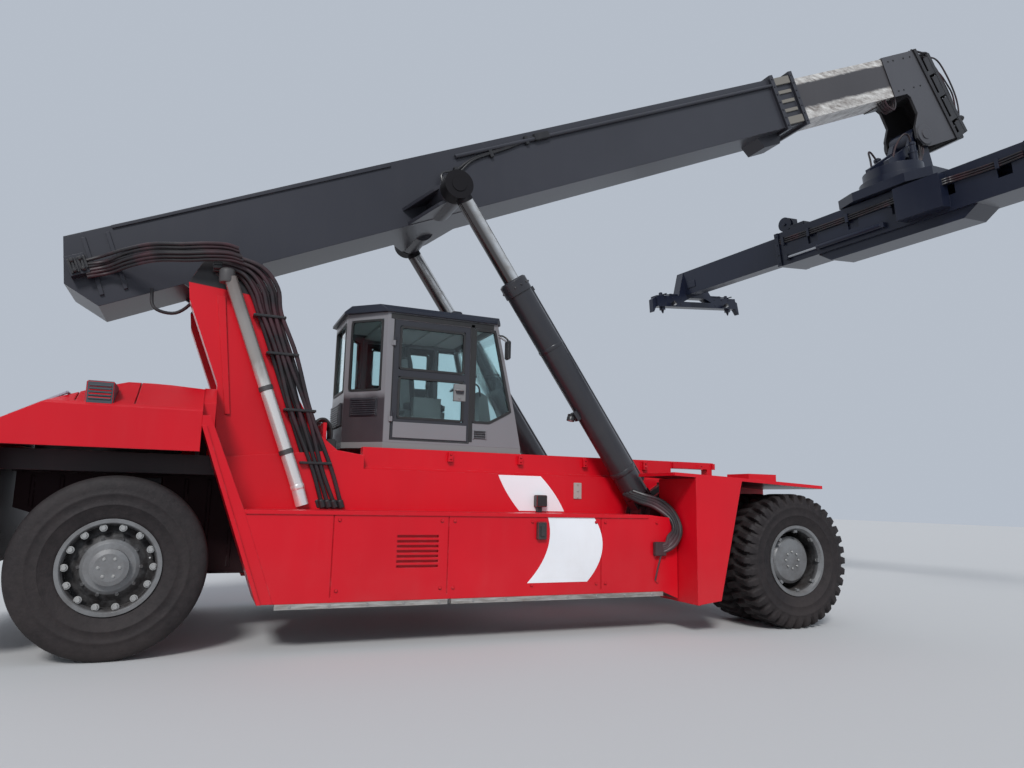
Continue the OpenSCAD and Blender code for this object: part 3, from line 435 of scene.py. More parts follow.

# Inner wheel-arch sheets behind the rear wheels, folded, ribbed and bolted on, drawn in dark red as painted
# shade.
arch_shaded_paint = coat("arch_shaded_paint", RED_IN_SHADE, dust=(0.045, 0.028, 0.026), amount=0.7, reach=2.2,
    gloss=(0.55, 0.9), edge=0.2, shine=0.2)
ARCH_Y, ARCH_TOP, ARCH_REAR, ARCH_FRONT = 0.48, 1.66, -8.5, -6.2
ARCH_EDGE = [(ARCH_REAR, ARCH_TOP), (ARCH_FRONT, ARCH_TOP), (ARCH_FRONT, 0.7), (-6.3, 0.64), (-6.78, 0.64),
    (-7.02, 0.84), (-7.185, 1.08), (-7.185, 1.62), (-7.84, 1.62), (-7.84, 1.16), (-7.95, 1.12),
    (ARCH_REAR, 1.3)]
for side, name in SIDES:
    bm = bmesh.new()
    mirror = Matrix.Diagonal((1, side, 1, 1))
    sheet_into(bm, ARCH_EDGE, side * ARCH_Y, side * 0.006)
    blocks_into(bm, mirror, ((ARCH_REAR, ARCH_Y, ARCH_TOP - 0.008), (ARCH_FRONT, 0.7, ARCH_TOP), 0.002),
        ((-6.78, ARCH_Y, 0.632), (-6.3, ARCH_Y + 0.03, 0.646), 0.003),
        ((-6.885, 0.66, 1.8), (-6.785, 0.84, 2.13), 0.01))
    for x, low in ((-8.35, 1.3), (-8.1, 1.24), (-6.95, 0.98), (-6.72, 0.7), (-6.48, 0.7), (-6.27, 0.74)):
        block_into(bm, (x - 0.02, ARCH_Y, low), (x + 0.02, ARCH_Y + 0.018, ARCH_TOP - 0.04), mirror, 0.006)
    bolts_into(bm, [(-8.42 + 0.235 * k, side * 0.6, ARCH_TOP - 0.008) for k in range(10)],
        (0, 0, -1), 0.012)
    new_piece("arch_panel_" + name, bm, "chassis", arch_shaded_paint, outward=True)

# Pressed apron that closes the hood against the tower, over the fenders.
APRON = [(0.6, 2.1), (1.44, 2.1), (1.44, 2.342), (1.04, 2.532), (0.96, 2.547), (0.6, 2.547)]
bm = bmesh.new()
for side in (-1, 1):
    rings = [[bm.verts.new((x, side * y, z)) for y, z in APRON] for x in (-6.852, -6.735)]
    for ring in rings:
        bm.faces.new(ring)
    skin(bm, rings)
new_piece("hood_apron", bm, "chassis", red_paint, outward=True)

# White stripe
# A wide band of white film laid over the web of the main beam and the side
# box, cut to one sweeping curve on both sides of the machine.

white_film = coat("white_film", (0.86, 0.87, 0.9), dust=(0.55, 0.5, 0.46), amount=0.55, reach=1.5, edge=0.0,
    width=0.001, bump=0.02, clear=0.2)
FILM = 0.0016
WEB_Y = 0.95


def swept(start, end, bulge, count=14):
    """An edge from start to end that bows forward by bulge at its middle."""
    start, end = Vector(start), Vector(end)
    return [tuple(start.lerp(end, t) + Vector((bulge * 4 * t * (1 - t), 0)))
        for t in (k / count for k in range(count + 1))]


for side, name in SIDES:
    bm = bmesh.new()
    outline = swept((-2.985, 1.765), (-2.66, 1.345), 0.03) + swept((-3.265, 1.345), (-3.545, 1.765), -0.025)
    sheet_into(bm, outline, side * WEB_Y, side * FILM)
    outline = swept((-2.67, 1.325), (-2.735, 0.585), 0.165) + swept((-3.475, 0.585), (-3.245, 1.325), 0.13)
    sheet_into(bm, outline, side * BOX_FACE_Y, side * FILM)
    new_piece("stripe_" + name, bm, "chassis", white_film, outward=True)

# Fittings on the side box
# A grey blank plate on the web, a black latch on a stalk and a grab handle by
# the film's rear edge, all screwed on.

grey_plate = coat("grey_plate", (0.4, 0.37, 0.34), amount=0.4, edge=0.2, width=0.002)
for side, name in SIDES:
    bm = bmesh.new()
    block_into(bm, (-2.53, side * WEB_Y, 1.5), (-2.42, side * (WEB_Y + 0.012), 1.7))
    bolts_into(bm, [(-2.475, side * (WEB_Y + 0.012), z) for z in (1.52, 1.6, 1.68)], (0, side, 0), 0.01)
    new_piece("blank_plate_" + name, bm, "chassis", grey_plate)
    bm = bmesh.new()
    latch = Matrix.Diagonal((1, side, 1, 1))
    blocks_into(bm, latch, ((-3.075, WEB_Y, 1.395), (-2.935, 1.047, 1.537), 0.008),
        ((-3.045, WEB_Y, 1.331), (-2.985, 1.006, 1.405), 0.004),
        ((-3.376, BOX_FACE_Y, 1.049), (-3.264, 1.727, 1.241), 0.008),
        ((-3.35, 1.715, 1.08), (-3.29, 1.745, 1.21), 0.01))
    new_piece("latches_" + name, bm, "chassis", black_paint, outward=True)

# Step bars
# Folded aluminium channels bolted along the foot of the side boxes, rubbed
# bright by boots.


def trodden(tree):
    streaks = scaled(noise(tree, 3.0, 6.0, 0.7, stretch=(1.2, 12, 12)), 0.38, 0.66)
    return blended(streaks, (0.3, 0.27, 0.24), (0.66, 0.65, 0.62))


step_metal = coat("step_aluminium", trodden, amount=0.35, reach=0.8, gloss=(0.36, 0.65), metal=0.75,
    edge=0.3, bare=(0.8, 0.8, 0.8), width=0.004)
dress(step_metal, "step_bars")
bm = bmesh.new()
for side in (-1, 1):
    bolts_into(bm, [(-5.95 + 0.37 * k, side * 1.7, 0.425) for k in range(12)], (0, side, 0), 0.012)
new_piece("step_bolts", bm, "chassis", bare_steel)

# Counterweight and hood fittings
# The counterweight is one heavy casting, drawn in dark maroon as painted shade.
# A slatted air intake box and light grey outlet grilles sit on the hood.

# Painted shade: the counterweight is drawn in a dark maroon.
weight_shaded_paint = coat("counterweight_shaded_paint", (0.045, 0.012, 0.016), amount=0.5, reach=1.6, gloss=(0.5, 0.85),
    edge=0.3, bump=0.25)
dress(weight_shaded_paint, "counterweight")
slate = coat("slate_plastic", (0.045, 0.06, 0.072), amount=0.4, edge=0.2, width=0.004, gloss=(0.45, 0.8))
REAR_AXLE_X = -7.5
bm = bmesh.new()
low, high = Vector((REAR_AXLE_X - 0.335, -1.625, 2.225)), Vector((REAR_AXLE_X - 0.105, -1.285, 2.462))
block_into(bm, low, high, soft=0.012)
for k in range(5):
    z = 2.29 + 0.03 * k
    block_into(bm, (low.x + 0.025, low.y - 0.01, z), (high.x - 0.025, low.y + 0.01, z + 0.014), soft=0.003)
new_piece("intake_box", bm, "chassis", slate)

grille_grey = coat("grille_grey", (0.34, 0.34, 0.4), amount=0.6, edge=0.3, width=0.003)
SLOPE = Matrix.Translation((-8.2, 0, 2.228)) @ turned_by(-29.0, "Y")
bm = bmesh.new()
for side in (-1, 1):
    for y in (0.22, 1.48):
        block_into(bm, (-0.24, side * y - 0.02, 0.0), (0.24, side * y + 0.02, 0.022), SLOPE, 0.004)
    middle = side * 0.85
    for u in (-0.25, 0.23):
        block_into(bm, (u, middle - 0.65, 0.0), (u + 0.02, middle + 0.65, 0.022), SLOPE, 0.004)
    for k in range(9):
        block_into(bm, (-0.2 + 0.045 * k, middle - 0.62, 0.002),
            (-0.185 + 0.045 * k, middle + 0.62, 0.016), SLOPE, 0.002)
new_piece("hood_grilles", bm, "chassis", grille_grey)

# Exhaust and tower hoses
# The exhaust runs down the tower's right side: sooted at the top, bright where
# the rain washes it, and near-white low down with a painted highlight. Beside it
# a bundle of hydraulic hoses in clamps feeds the boom, looping over the pivot.


def heat_tint(tree):
    """Soot over metal kept clean by rain, in uneven bands from the foot of the pipe up; the near-white low
    band is clean metal with a painted highlight.
    """
    rise = sums("ADD", axes(tree)["Z"], times(noise(tree, 2.0, 6.0, stretch=(3, 3, 1)), 0.5))
    ramp = knot(tree, "ShaderNodeValToRGB")
    feed(scaled(rise, 1.7, 4.0), ramp.inputs["Fac"])
    soot, washed_and_lit = ramp.color_ramp.elements[1], ramp.color_ramp.elements[0]
    # The near-white colour low on the pipe is clean metal with a painted highlight.
    soot.color, washed_and_lit.color = (0.24, 0.2, 0.18, 1), (0.9, 0.89, 0.87, 1)
    for position, colour in ((0.5, (0.86, 0.83, 0.79)), (0.6, (0.4, 0.37, 0.34)),
            (0.85, (0.34, 0.31, 0.29))):
        ramp.color_ramp.elements.new(position).color = (*colour, 1)
    return ramp.outputs["Color"]


exhaust_metal = coat("exhaust_metal", heat_tint, amount=0.25, reach=0.5, gloss=(0.24, 0.6), metal=0.6,
    edge=0.0, width=0.002)
dress(exhaust_metal, "exhaust")


def ribbed(tree):
    """Dark rubber with patches of painted maroon sheen, a painted reflection."""
    red_sheen = scaled(noise(tree, 2.6, 5.0), 0.46, 0.66)
    return blended(red_sheen, (0.014, 0.012, 0.014), (0.055, 0.018, 0.024))


hose_rubber = coat("hose_rubber", ribbed, amount=0.5, reach=1.2, gloss=(0.42, 0.8), edge=0.0, width=0.001)
PIVOT = Vector((-6.75, 0, 3.88))
BOOM = Matrix.Translation(PIVOT) @ turned_by(-24, "Y")


def collar_into(bm, points, at, radius):
    """A swaged fitting around a hose, at one of its route's ends."""
    route = smooth_route(points)
    here, further = (route[0], route[1]) if at == 0 else (route[-1], route[-2])
    place = axis_matrix(here, further - here)
    turned_into(bm, place, [(0, 0), (radius, 0), (radius * 1.25, 0.008), (radius * 1.25, 0.08),
        (radius, 0.09), (0, 0.09)], 12)


hose_bm, fitting_bm = bmesh.new(), bmesh.new()
TOWER_HOSES, CLAMP_Y, EXHAUST_Y = 8, -1.01, -1.03
for k in range(TOWER_HOSES):
    x = 0.034 * k
    y = -0.925 - 0.048 * (k % 2)
    bow = 0.02 * math.sin(2.1 * k)
    route = [(-5.62 + x, y, 1.345), (-5.78 + x + bow, y, 1.78), (-6.0 + x - bow, y, 2.38),
        (-6.22 + x + bow, y, 2.98), (-6.39 + x, y, 3.42), (-6.47 + x * 1.1, y, 3.62 + 0.012 * k),
        (-6.58 + x * 0.8, y, 3.78 + 0.02 * k), (-6.72, y, 3.84 + 0.022 * k), (-6.88, y, 3.84 + 0.018 * k)]
    tube_into(hose_bm, route, 0.024)
    for end in (0, -1):
        collar_into(fitting_bm, route, end, 0.028)
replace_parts(new_piece("tower_hoses", hose_bm, "chassis", hose_rubber), "hoses")
for x, z in ((-6.0, 2.38), (-6.22, 2.98), (-6.38, 3.38), (-5.8, 1.82)):
    block_into(fitting_bm, (x - 0.06, CLAMP_Y, z - 0.014), (x + 0.28, -0.885, z + 0.014), soft=0.005)
    for dx in (-0.045, 0.265):
        bolt_into(fitting_bm, (x + dx, CLAMP_Y, z), (0, -1, 0), 0.01)
new_piece("tower_clamps", fitting_bm, "chassis", black_paint)
bm = bmesh.new()
turned_into(bm, axis_matrix((-6.735, EXHAUST_Y, 3.83), (0.02, 0, -1)),
    [(0, 0), (0.062, 0), (0.08, 0.02), (0.08, 0.13), (0.072, 0.15), (0, 0.15)], 28)
for at in ((-6.27, EXHAUST_Y, 2.61), (-6.02, EXHAUST_Y, 1.95)):
    turned_into(bm, axis_matrix(at, (0.36, 0, -0.93)), [(0.069, 0), (0.076, 0.004), (0.076, 0.05),
        (0.069, 0.054)], 28)
new_piece("exhaust_collars", bm, "chassis", dull_steel)

# Tyres
# 18.00-25 port tyres: deep staggered lugs in front, worn smooth behind, with
# raised rings moulded on the walls. Rubber greyed by dust.


def scuffed(tree):
    grain = scaled(noise(tree, 14.0, 6.0, 0.7), 0.35, 0.7)
    return blended(grain, (0.01, 0.008, 0.009), (0.024, 0.019, 0.02))


tyre_rubber = coat("tyre_rubber", scuffed, dust=(0.052, 0.042, 0.04), amount=0.75, reach=2.2,
    gloss=(0.62, 0.92), shine=0.3, edge=0.25, bare=(0.05, 0.042, 0.04), width=0.006, bump=0.35)
WHEEL_R = 0.81
LUGS = 36
# Half a section: radius, distance from the middle, depth of a groove there
SECTION = [(0.4015, 0.203, 0), (0.425, 0.212, 0), (0.455, 0.226, 0), (0.47, 0.228, 0), (0.478, 0.233, 0),
    (0.54, 0.2405, 0), (0.545, 0.2455, 0), (0.556, 0.2455, 0), (0.561, 0.2425, 0), (0.63, 0.247, 0),
    (0.635, 0.25, 0), (0.652, 0.25, 0), (0.657, 0.247, 0.002), (0.69, 0.246, 0.012), (0.722, 0.242, 0.026),
    (0.752, 0.234, 0.038), (0.778, 0.222, 0.046), (0.797, 0.206, 0.05), (0.806, 0.185, 0.052),
    (0.8095, 0.145, 0.05), (0.81, 0.095, 0.044), (0.81, 0.045, 0.032), (0.81, 0.012, 0.02)]


def tyre_into(bm, centre, lugged):
    steps = LUGS * 12 if lugged else 144
    full = [(r, -y, g) for r, y, g in SECTION] + [(r, y, g) for r, y, g in reversed(SECTION)]
    rings = []
    for k in range(steps):
        turn = 2 * math.pi * k / steps
        ring = []
        for radius, y, depth in full:
            cut = 0.0
            if lugged and depth:
                phase = (LUGS * k / steps + (0.5 if y > 0 else 0.0) + 1.6 * (0.25 - abs(y))) % 1.0
                cut = depth * min(1.0, max(0.0, (0.23 - abs(phase - 0.5)) / 0.05))
            elif depth > 0.04:
                cut = 0.01 if 0.09 < abs(y) < 0.1 or 0.14 < abs(y) < 0.15 else 0.0
            sideways = 0.35 * cut if radius < 0.8 else 0.0
            r = radius - cut
            ring.append(bm.verts.new((centre.x + r * math.cos(turn),
                centre.y + y - math.copysign(sideways, y), centre.z + r * math.sin(turn))))
        rings.append(ring)
    skin(bm, rings + rings[:1])


FRONT_TWINS = (1.245, 1.825)
REAR_WHEEL_Y = 1.395
for side, name in SIDES:
    bm = bmesh.new()
    for y in FRONT_TWINS:
        tyre_into(bm, Vector((0, side * y, WHEEL_R)), True)
    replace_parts(new_piece("tyres_front_" + name, bm, "front_wheels_" + name, tyre_rubber, 40,
        outward=True), "front_tyres_" + name)
    bm = bmesh.new()
    tyre_into(bm, Vector((REAR_AXLE_X, side * REAR_WHEEL_Y, WHEEL_R)), False)
    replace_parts(new_piece("tyre_rear_" + name, bm, "rear_wheel_" + name, tyre_rubber, 40,
        outward=True), "rear_tyre_" + name)

# Rims
# Pressed steel rims in silver grey: wheel nuts, valve stems, hub bolts and a
# ring of wedge studs.

SILVER = (0.2, 0.205, 0.21)


def rim_shadow(x, dish, hub):
    """Silver, black deep in the dish and between the wedges: painted shade, with brake dust."""
    def pattern(tree):
        place = axes(tree)
        along = sums("SUBTRACT", place["X"], x)
        up = sums("SUBTRACT", place["Z"], WHEEL_R)
        out = sums("POWER", sums("ADD", sums("POWER", along, 2.0), sums("POWER", up, 2.0)), 0.5)
        ring = times(scaled(out, hub, hub + 0.008), scaled(out, 0.385, 0.376))
        deep = scaled(sums("ABSOLUTE", place["Y"], 0.0), dish, dish - 0.06)
        film = scaled(noise(tree, 9.0, 6.0, 0.7), 0.3, 0.62, 0.45, 1.0)
        # Painted shade with brake dust, in the ring deep in the dish.
        dark = times(times(ring, deep), film)
        spots = scaled(noise(tree, 6.0, 6.0, 0.7), 0.42, 0.7, 0.0, 0.6)
        return blended(dark, blended(spots, SILVER, (0.09, 0.085, 0.083)), (0.008, 0.007, 0.008))
    return pattern


RIM = dict(dust=(0.1, 0.085, 0.078), amount=0.7, reach=1.9, gloss=(0.36, 0.8), metal=0.25, edge=0.4,
    width=0.005, bare=(0.34, 0.34, 0.34))
front_rim = coat("front_rim_silver", rim_shadow(0, 2.02, 0.287), **RIM)
rear_rim = coat("rear_rim_silver", rim_shadow(REAR_AXLE_X, 1.68, 0.235), **RIM)
dress(front_rim, "front_rims_r", "front_rims_l")
dress(rear_rim, "rear_rim_r", "rear_rim_l")


def nuts_into(bm, x, side, rows):
    """Rings of bolts on a wheel's outside: number, distance out, radius of the ring and of a head."""
    for count, out, radius, size in rows:
        for along, up in round_points(count, radius):
            bolt_into(bm, (x + along, side * out, WHEEL_R + up), (0, side, 0), size)


for side, name in SIDES:
    bm = bmesh.new()
    nuts_into(bm, 0, side, ((24, 1.6, 0.285, 0.018), (16, 1.801, 0.222, 0.013), (8, 1.961, 0.1, 0.011),
        (8, 2.0, 0.35, 0.014)))
    new_piece("wheel_nuts_front_" + name, bm, "front_wheels_" + name, bare_steel)
    bm = bmesh.new()
    nuts_into(bm, REAR_AXLE_X, side, ((14, REAR_WHEEL_Y + 0.205, 0.35, 0.024), (6, 1.657, 0.085, 0.011)))
    stem = Vector((REAR_AXLE_X + 0.335, side * 1.5, WHEEL_R + 0.06))
    tube_into(bm, [stem, stem + Vector((0.0, side * 0.05, 0.01)),
        stem + Vector((-0.02, side * 0.11, 0.02))], 0.008, 8)
    new_piece("wheel_nuts_rear_" + name, bm, "rear_wheel_" + name, bare_steel)

# Boom
# A welded box boom in charcoal paint. The inner boom slides out on pads, which
# polish a bright band along its top and bottom edges and leave dry grease.


def charcoal_lit_to_front(tree):
    """Almost black at the rear, lighter slate towards the front: painted shade and painted light along the
    boom.
    """
    place = axes(tree)
    clouds = times(noise(tree, 0.5, 4.0), 5.0)
    # Painted light: the charcoal grows lighter towards the front of the boom.
    lit_towards_front = scaled(sums("ADD", place["X"], clouds), -5.5, 1.5)
    return blended(lit_towards_front, (0.014, 0.015, 0.024), (0.036, 0.037, 0.046))


charcoal = coat("charcoal_paint", charcoal_lit_to_front, shine=0.4, dust=(0.1, 0.09, 0.085), amount=0.3, reach=2.0,
    gloss=(0.4, 0.7), edge=0.45, bare=(0.12, 0.11, 0.11), width=0.01, clear=0.15)
dress(charcoal, "boom_outer")
ALONG_W, UP_W = Vector(BOOM.to_3x3().col[0]), Vector(BOOM.to_3x3().col[2])
PIVOT_W = UP_W.dot(PIVOT)


def along_way(tree, way):
    """How far a point on the object lies along a direction."""
    place = knot(tree, "ShaderNodeTexCoord").outputs["Object"]
    made = knot(tree, "ShaderNodeVectorMath", operation="DOT_PRODUCT", Vector=place)
    feed(way, made.inputs[1])
    return made.outputs["Value"]


def slide_bands(tree):
    """Dull steel with a polished, greasy band along its top and its bottom edge."""
    ragged = times(sums("SUBTRACT", noise(tree, 3.0, 6.0, 0.7, stretch=(0.6, 1, 4)), 0.5), 0.1)
    w = sums("ADD", sums("SUBTRACT", along_way(tree, UP_W), PIVOT_W), ragged)
    band = sums("MAXIMUM", scaled(w, 0.735, 0.765), scaled(w, 0.345, 0.3))
    grease = scaled(noise(tree, 5.0, 7.0, 0.75, stretch=(0.8, 1, 3)), 0.35, 0.65)
    polished = blended(grease, (0.22, 0.19, 0.17), (0.78, 0.76, 0.72))
    return blended(band, (0.066, 0.062, 0.066), polished)


inner_paint = coat("inner_boom_steel", slide_bands, amount=0.15, gloss=(0.38, 0.7), metal=0.15,
    edge=0.3, width=0.006)
dress(inner_paint, "boom_inner")


def nose_lit_and_shaded(tree):
    """Grey cheeks drawn lighter than the boom as painted light, black from the front lip on, and black
    inside between the cheeks as painted shade.
    """
    lip = ALONG_W + 0.175 * UP_W
    start = lip.dot(PIVOT)
    front = scaled(along_way(tree, lip), 13.375 + start, 13.385 + start)
    # Painted shade: black inside, between the cheeks.
    inside = scaled(sums("ABSOLUTE", axes(tree)["Y"], 0.0), 0.346, 0.342)
    return blended(sums("MAXIMUM", front, inside), (0.07, 0.07, 0.078), BLACKED)


nose_paint = coat("nose_paint", nose_lit_and_shaded, dust=(0.2, 0.18, 0.17), amount=0.4, reach=2.0,
    gloss=(0.42, 0.75), edge=0.35, bare=(0.2, 0.19, 0.19), width=0.01)
dress(nose_paint, "boom_nose")


# Pads between the two collars, and the bolts that hold them.
pad_nylon = coat("pad_nylon", (0.2, 0.185, 0.16), amount=0.3, edge=0.0, width=0.004, gloss=(0.5, 0.8))
BOOM_END, BOOM_HALF, COLLAR_HALF, CHEEK_HALF = 9.8, 0.4, 0.45, 0.6
bm = bmesh.new()
for side in (-1, 1):
    wall = side * BOOM_HALF
    for low, high in ((0.775, 0.905), (0.085, 0.215)):
        block_into(bm, (BOOM_END - 0.43, wall, low), (BOOM_END - 0.07, wall + side * 0.036,
            high), BOOM, 0.005)
    for low in (0.3, 0.46, 0.62):
        block_into(bm, (BOOM_END - 0.42, wall, low),
            (BOOM_END - 0.1, wall + side * 0.022, low + 0.06), BOOM, 0.005)
new_piece("boom_pads", bm, "boom", pad_nylon)
bm = bmesh.new()
for side in (-1, 1):
    bolts_into(bm, [(u, side * COLLAR_HALF, 0.08 + 0.135 * k) for u in (BOOM_END - 0.48, BOOM_END - 0.02)
        for k in range(7)], (0, side, 0), 0.013, BOOM)
    bolts_into(bm, [(u, side * CHEEK_HALF, w) for u in (-0.16, 0.0, 0.16) for w in (-0.16, 0.16)],
        (0, side, 0), 0.012, BOOM)
new_piece("boom_bolts", bm, "boom", charcoal)

# Pipes and hoses on the boom's right side, from the rear valve block.
bm = bmesh.new()
RIGHT = -BOOM_HALF
for k in range(6):
    rise, out = 0.034 * k, 0.018 * (k % 3)
    tube_into(bm, [(-1.3, RIGHT - 0.1, 0.38 + rise),
        (-1.08, RIGHT - 0.08 - out, 0.37 + rise + 0.02 * math.sin(3 * k)),
        (-0.86, RIGHT - 0.26 - out, 0.34 + rise), (-0.62, RIGHT - 0.52 - out, 0.25 + rise),
        (-0.34, RIGHT - 0.63 - out, 0.14 + rise), (-0.12, RIGHT - 0.66 - out, 0.08 + rise),
        (0.06, RIGHT - 0.66 - out, 0.02 + rise), (0.17, RIGHT - 0.65 - out, -0.05 + rise)],
        0.019, place=BOOM)
tube_into(bm, [(-0.75, RIGHT - 0.05, 0.1), (-0.8, RIGHT - 0.12, -0.12), (-0.62, RIGHT - 0.12, -0.24),
    (-0.4, RIGHT - 0.14, -0.16), (-0.3, RIGHT - 0.08, 0.06)], 0.018, place=BOOM)
new_piece("boom_hoses", bm, "boom", hose_rubber)
bm = bmesh.new()
for w, lift in ((0.54, 0.0), (0.59, 0.02)):
    tube_into(bm, [(2.95, RIGHT - 0.1, 0.36), (3.0, RIGHT - 0.08, w), (3.25, RIGHT - 0.025, w + 0.03),
        (3.55, RIGHT - 0.025, 0.7 + lift), (4.05, RIGHT - 0.025, 0.745 + lift),
        (4.45, RIGHT - 0.025, 0.8 + lift), (4.62, RIGHT - 0.02, 0.83)], 0.014, 8, place=BOOM)
for u, w in ((3.22, 0.6), (3.8, 0.735), (4.4, 0.8)):
    block_into(bm, (u, RIGHT - 0.045, w - 0.06), (u + 0.05, RIGHT, w + 0.06), BOOM, 0.004)
block_into(bm, (4.55, RIGHT - 0.06, 0.76), (4.8, RIGHT, 0.86), BOOM, 0.008)
for k in range(6):
    block_into(bm, (-1.42 + 0.03 * k, RIGHT - 0.145, 0.44 + 0.02 * (k % 2)),
        (-1.4 + 0.03 * k, RIGHT - 0.115, 0.6), BOOM, 0.003)
for u, w in ((-1.38, 0.47), (-1.38, 0.58), (-1.3, 0.47), (-1.3, 0.58)):
    turned_into(bm, BOOM @ axis_matrix((u, RIGHT - 0.12, w), (0, -1, 0)),
        [(0, 0), (0.025, 0), (0.025, 0.03), (0.014, 0.04), (0, 0.04)], 12)
new_piece("boom_pipes", bm, "boom", black_paint)

# Hoses and lamps down the front of the nose.
bm = bmesh.new()
NOSE_FRONT = [(13.5, 0.74), (13.56, 0.35), (13.64, -0.1), (13.73, -0.6)]
for n, y in enumerate((-0.34, -0.29, -0.22, -0.1, 0.05, 0.17, 0.3)):
    deep = 0.06 * math.sin(5 * n) + 0.06
    tube_into(bm, [(13.22, y, 0.9), (13.42 + deep, y * 1.02, 0.8 + 0.1 * deep)]
        + [(u + 0.1 + deep, y, w) for u, w in NOSE_FRONT]
        + [(13.78, y * 0.95, -0.8), (13.76, y * 0.95, -0.92)], 0.021, place=BOOM)
for n, (y, out) in enumerate(((-0.35, 0.34), (-0.33, 0.2), (-0.25, 0.44), (0.31, 0.3))):
    tube_into(bm, [(13.46, y, 0.72 - 0.1 * n), (13.58 + out * 0.7, y, 0.62 - 0.1 * n),
        (13.62 + out, y, 0.3 - 0.1 * n), (13.7 + out * 0.9, y, -0.16), (13.74 + out * 0.5, y, -0.52),
        (13.72, y * 0.95, -0.8)], 0.015, place=BOOM)
# Four hoses that hang in a loop under the inner boom, behind the cheek.
for k in range(4):
    y = -0.3 + 0.05 * k
    tube_into(bm, [(12.34, y, 0.16), (12.31, y, 0.0), (12.2, y, -0.1), (12.08, y, 0.0), (12.05, y, 0.16)],
        0.016, place=BOOM)
new_piece("nose_hoses", bm, "boom_extension", hose_rubber)
bm = bmesh.new()
for side in (-1, 1):
    for (u, w), (u_low, w_low) in zip(NOSE_FRONT, NOSE_FRONT[1:] + [(13.8, -0.93)]):
        place = BOOM @ Matrix.Translation(
            ((u + u_low) / 2 - 0.03, side * 0.355, (w + w_low) / 2)) @ Matrix.Rotation(
            math.atan2(u_low - u, w - w_low), 4, "Y").inverted()
        half = math.hypot(u_low - u, w - w_low) / 2
        blocks_into(bm, place, ((0.11, -0.012, -half), (0.2, 0.012, half), 0.005),
            ((-0.14, -0.01, -half), (0.11, 0.01, -half + 0.09), 0.005),
            ((-0.04, -0.008, -half), (0.12, 0.008, half - 0.05), 0.003))
block_into(bm, (13.6, -0.34, -0.99), (13.84, 0.34, -0.89), BOOM, 0.012)
for u, w in NOSE_FRONT:
    block_into(bm, (u + 0.06, -0.36, w - 0.02), (u + 0.15, 0.36, w + 0.02), BOOM, 0.005)
for y, u, w in ((-0.31, 13.98, -0.62), (0.31, 13.98, -0.62), (-0.27, 13.62, 0.73), (0.27, 13.62, 0.73)):
    turned_into(bm, BOOM @ axis_matrix((u, y, w), (0.8, 0, -0.6)),
        [(0, -0.09), (0.035, -0.09), (0.062, -0.04), (0.066, 0.01), (0.056, 0.012), (0, 0.006)], 24)
    block_into(bm, (u - 0.16, y - 0.02, w - 0.02), (u - 0.03, y + 0.02, w + 0.02), BOOM, 0.004)
for side in (-1, 1):
    bolts_into(bm, [(u, side * 0.35, w) for u in (12.45, 12.6, 12.9, 13.1) for w in (0.2, 0.78)],
        (0, side, 0), 0.013, BOOM)
new_piece("nose_bars", bm, "boom_extension", black_paint)

# Lift cylinders
# Two long rams: black painted tubes with a bolted gland, hard chromed rods,
# and short pressure hoses that loop from the frame into the foot.

barrel_paint = coat("barrel_black", (0.022, 0.022, 0.027), dust=(0.12, 0.11, 0.105), amount=0.6, reach=3.0,
    gloss=(0.3, 0.75), edge=0.4, width=0.006, clear=0.2)
dress(barrel_paint, "barrel_r", "barrel_l")
rod_chrome, tree, shader = blank_finish("rod_chrome", Metallic=0.9)
film = scaled(noise(tree, 5.0, 7.0, 0.7), 0.42, 0.72)
RAM_HEAD = Vector((-4.251, 0, 5.2006))
place = axes(tree)
along = sums("POWER", sums("SUBTRACT", place["X"], RAM_HEAD.x), 2.0)
above = sums("POWER", sums("SUBTRACT", place["Z"], RAM_HEAD.z), 2.0)
eye = scaled(sums("POWER", sums("ADD", along, above), 0.5), 0.232, 0.226)
# Painted shade: the rod turns dark grey on the faces that look down.
under = scaled(facing_up(tree), 0.1, -0.3)
metal = blended(under, blended(film, (0.82, 0.82, 0.81), (0.5, 0.47, 0.43)), (0.1, 0.095, 0.095))
feed(blended(eye, metal, BLACKED), shader.inputs["Base Color"])
feed(sums("MAXIMUM", scaled(film, 0.0, 1.0, 0.14, 0.36), times(eye, 0.6)), shader.inputs["Roughness"])
dress(rod_chrome, "rod_r", "rod_l")

RAM_ANGLE = math.radians(124.85)
RAM_FOOT = Vector((-1.56, 1.13, 1.336))
TUBE_R = 0.16
GLAND_R = 0.174
TUBE_LONG = 3.4


def ram_frame(side):
    return (Matrix.Translation((RAM_FOOT.x, side * RAM_FOOT.y, RAM_FOOT.z))
        @ Matrix.Rotation(-RAM_ANGLE, 4, "Y"))


lens, tree, shader = blank_finish("lamp_lens", Roughness=0.12, Coat_Weight=1.0)
facets = knot(tree, "ShaderNodeTexVoronoi", Scale=60.0).outputs["Distance"]
feed(blended(facets, (0.85, 0.86, 0.85), (0.42, 0.44, 0.46)), shader.inputs["Base Color"])
lens_bump = knot(tree, "ShaderNodeBump", Strength=0.5, Distance=0.004, Height=facets)
feed(lens_bump.outputs["Normal"], shader.inputs["Normal"])
dress(lens, "lamps")


def lamp_into(shell_bm, lens_bm, at, out, radius=0.05):
    """A round work lamp: finned back, rim and a domed lens."""
    place = axis_matrix(at, out)
    turned_into(shell_bm, place, [(0, -0.075), (radius * 0.5, -0.075), (radius * 0.8, -0.05),
        (radius, -0.03), (radius, 0.012), (radius * 0.88, 0.014), (radius * 0.86, 0.0), (0, 0.0)], 24)
    for k in range(3):
        turned_into(shell_bm, place, [(radius * 0.5, -0.065 + 0.014 * k),
            (radius * 0.95, -0.065 + 0.014 * k), (radius * 0.95, -0.061 + 0.014 * k),
            (radius * 0.5, -0.061 + 0.014 * k)], 20)
    turned_into(lens_bm, place, [(0, 0.001), (radius * 0.86, 0.001), (radius * 0.7, 0.009),
        (radius * 0.35, 0.014), (0, 0.016)], 24)


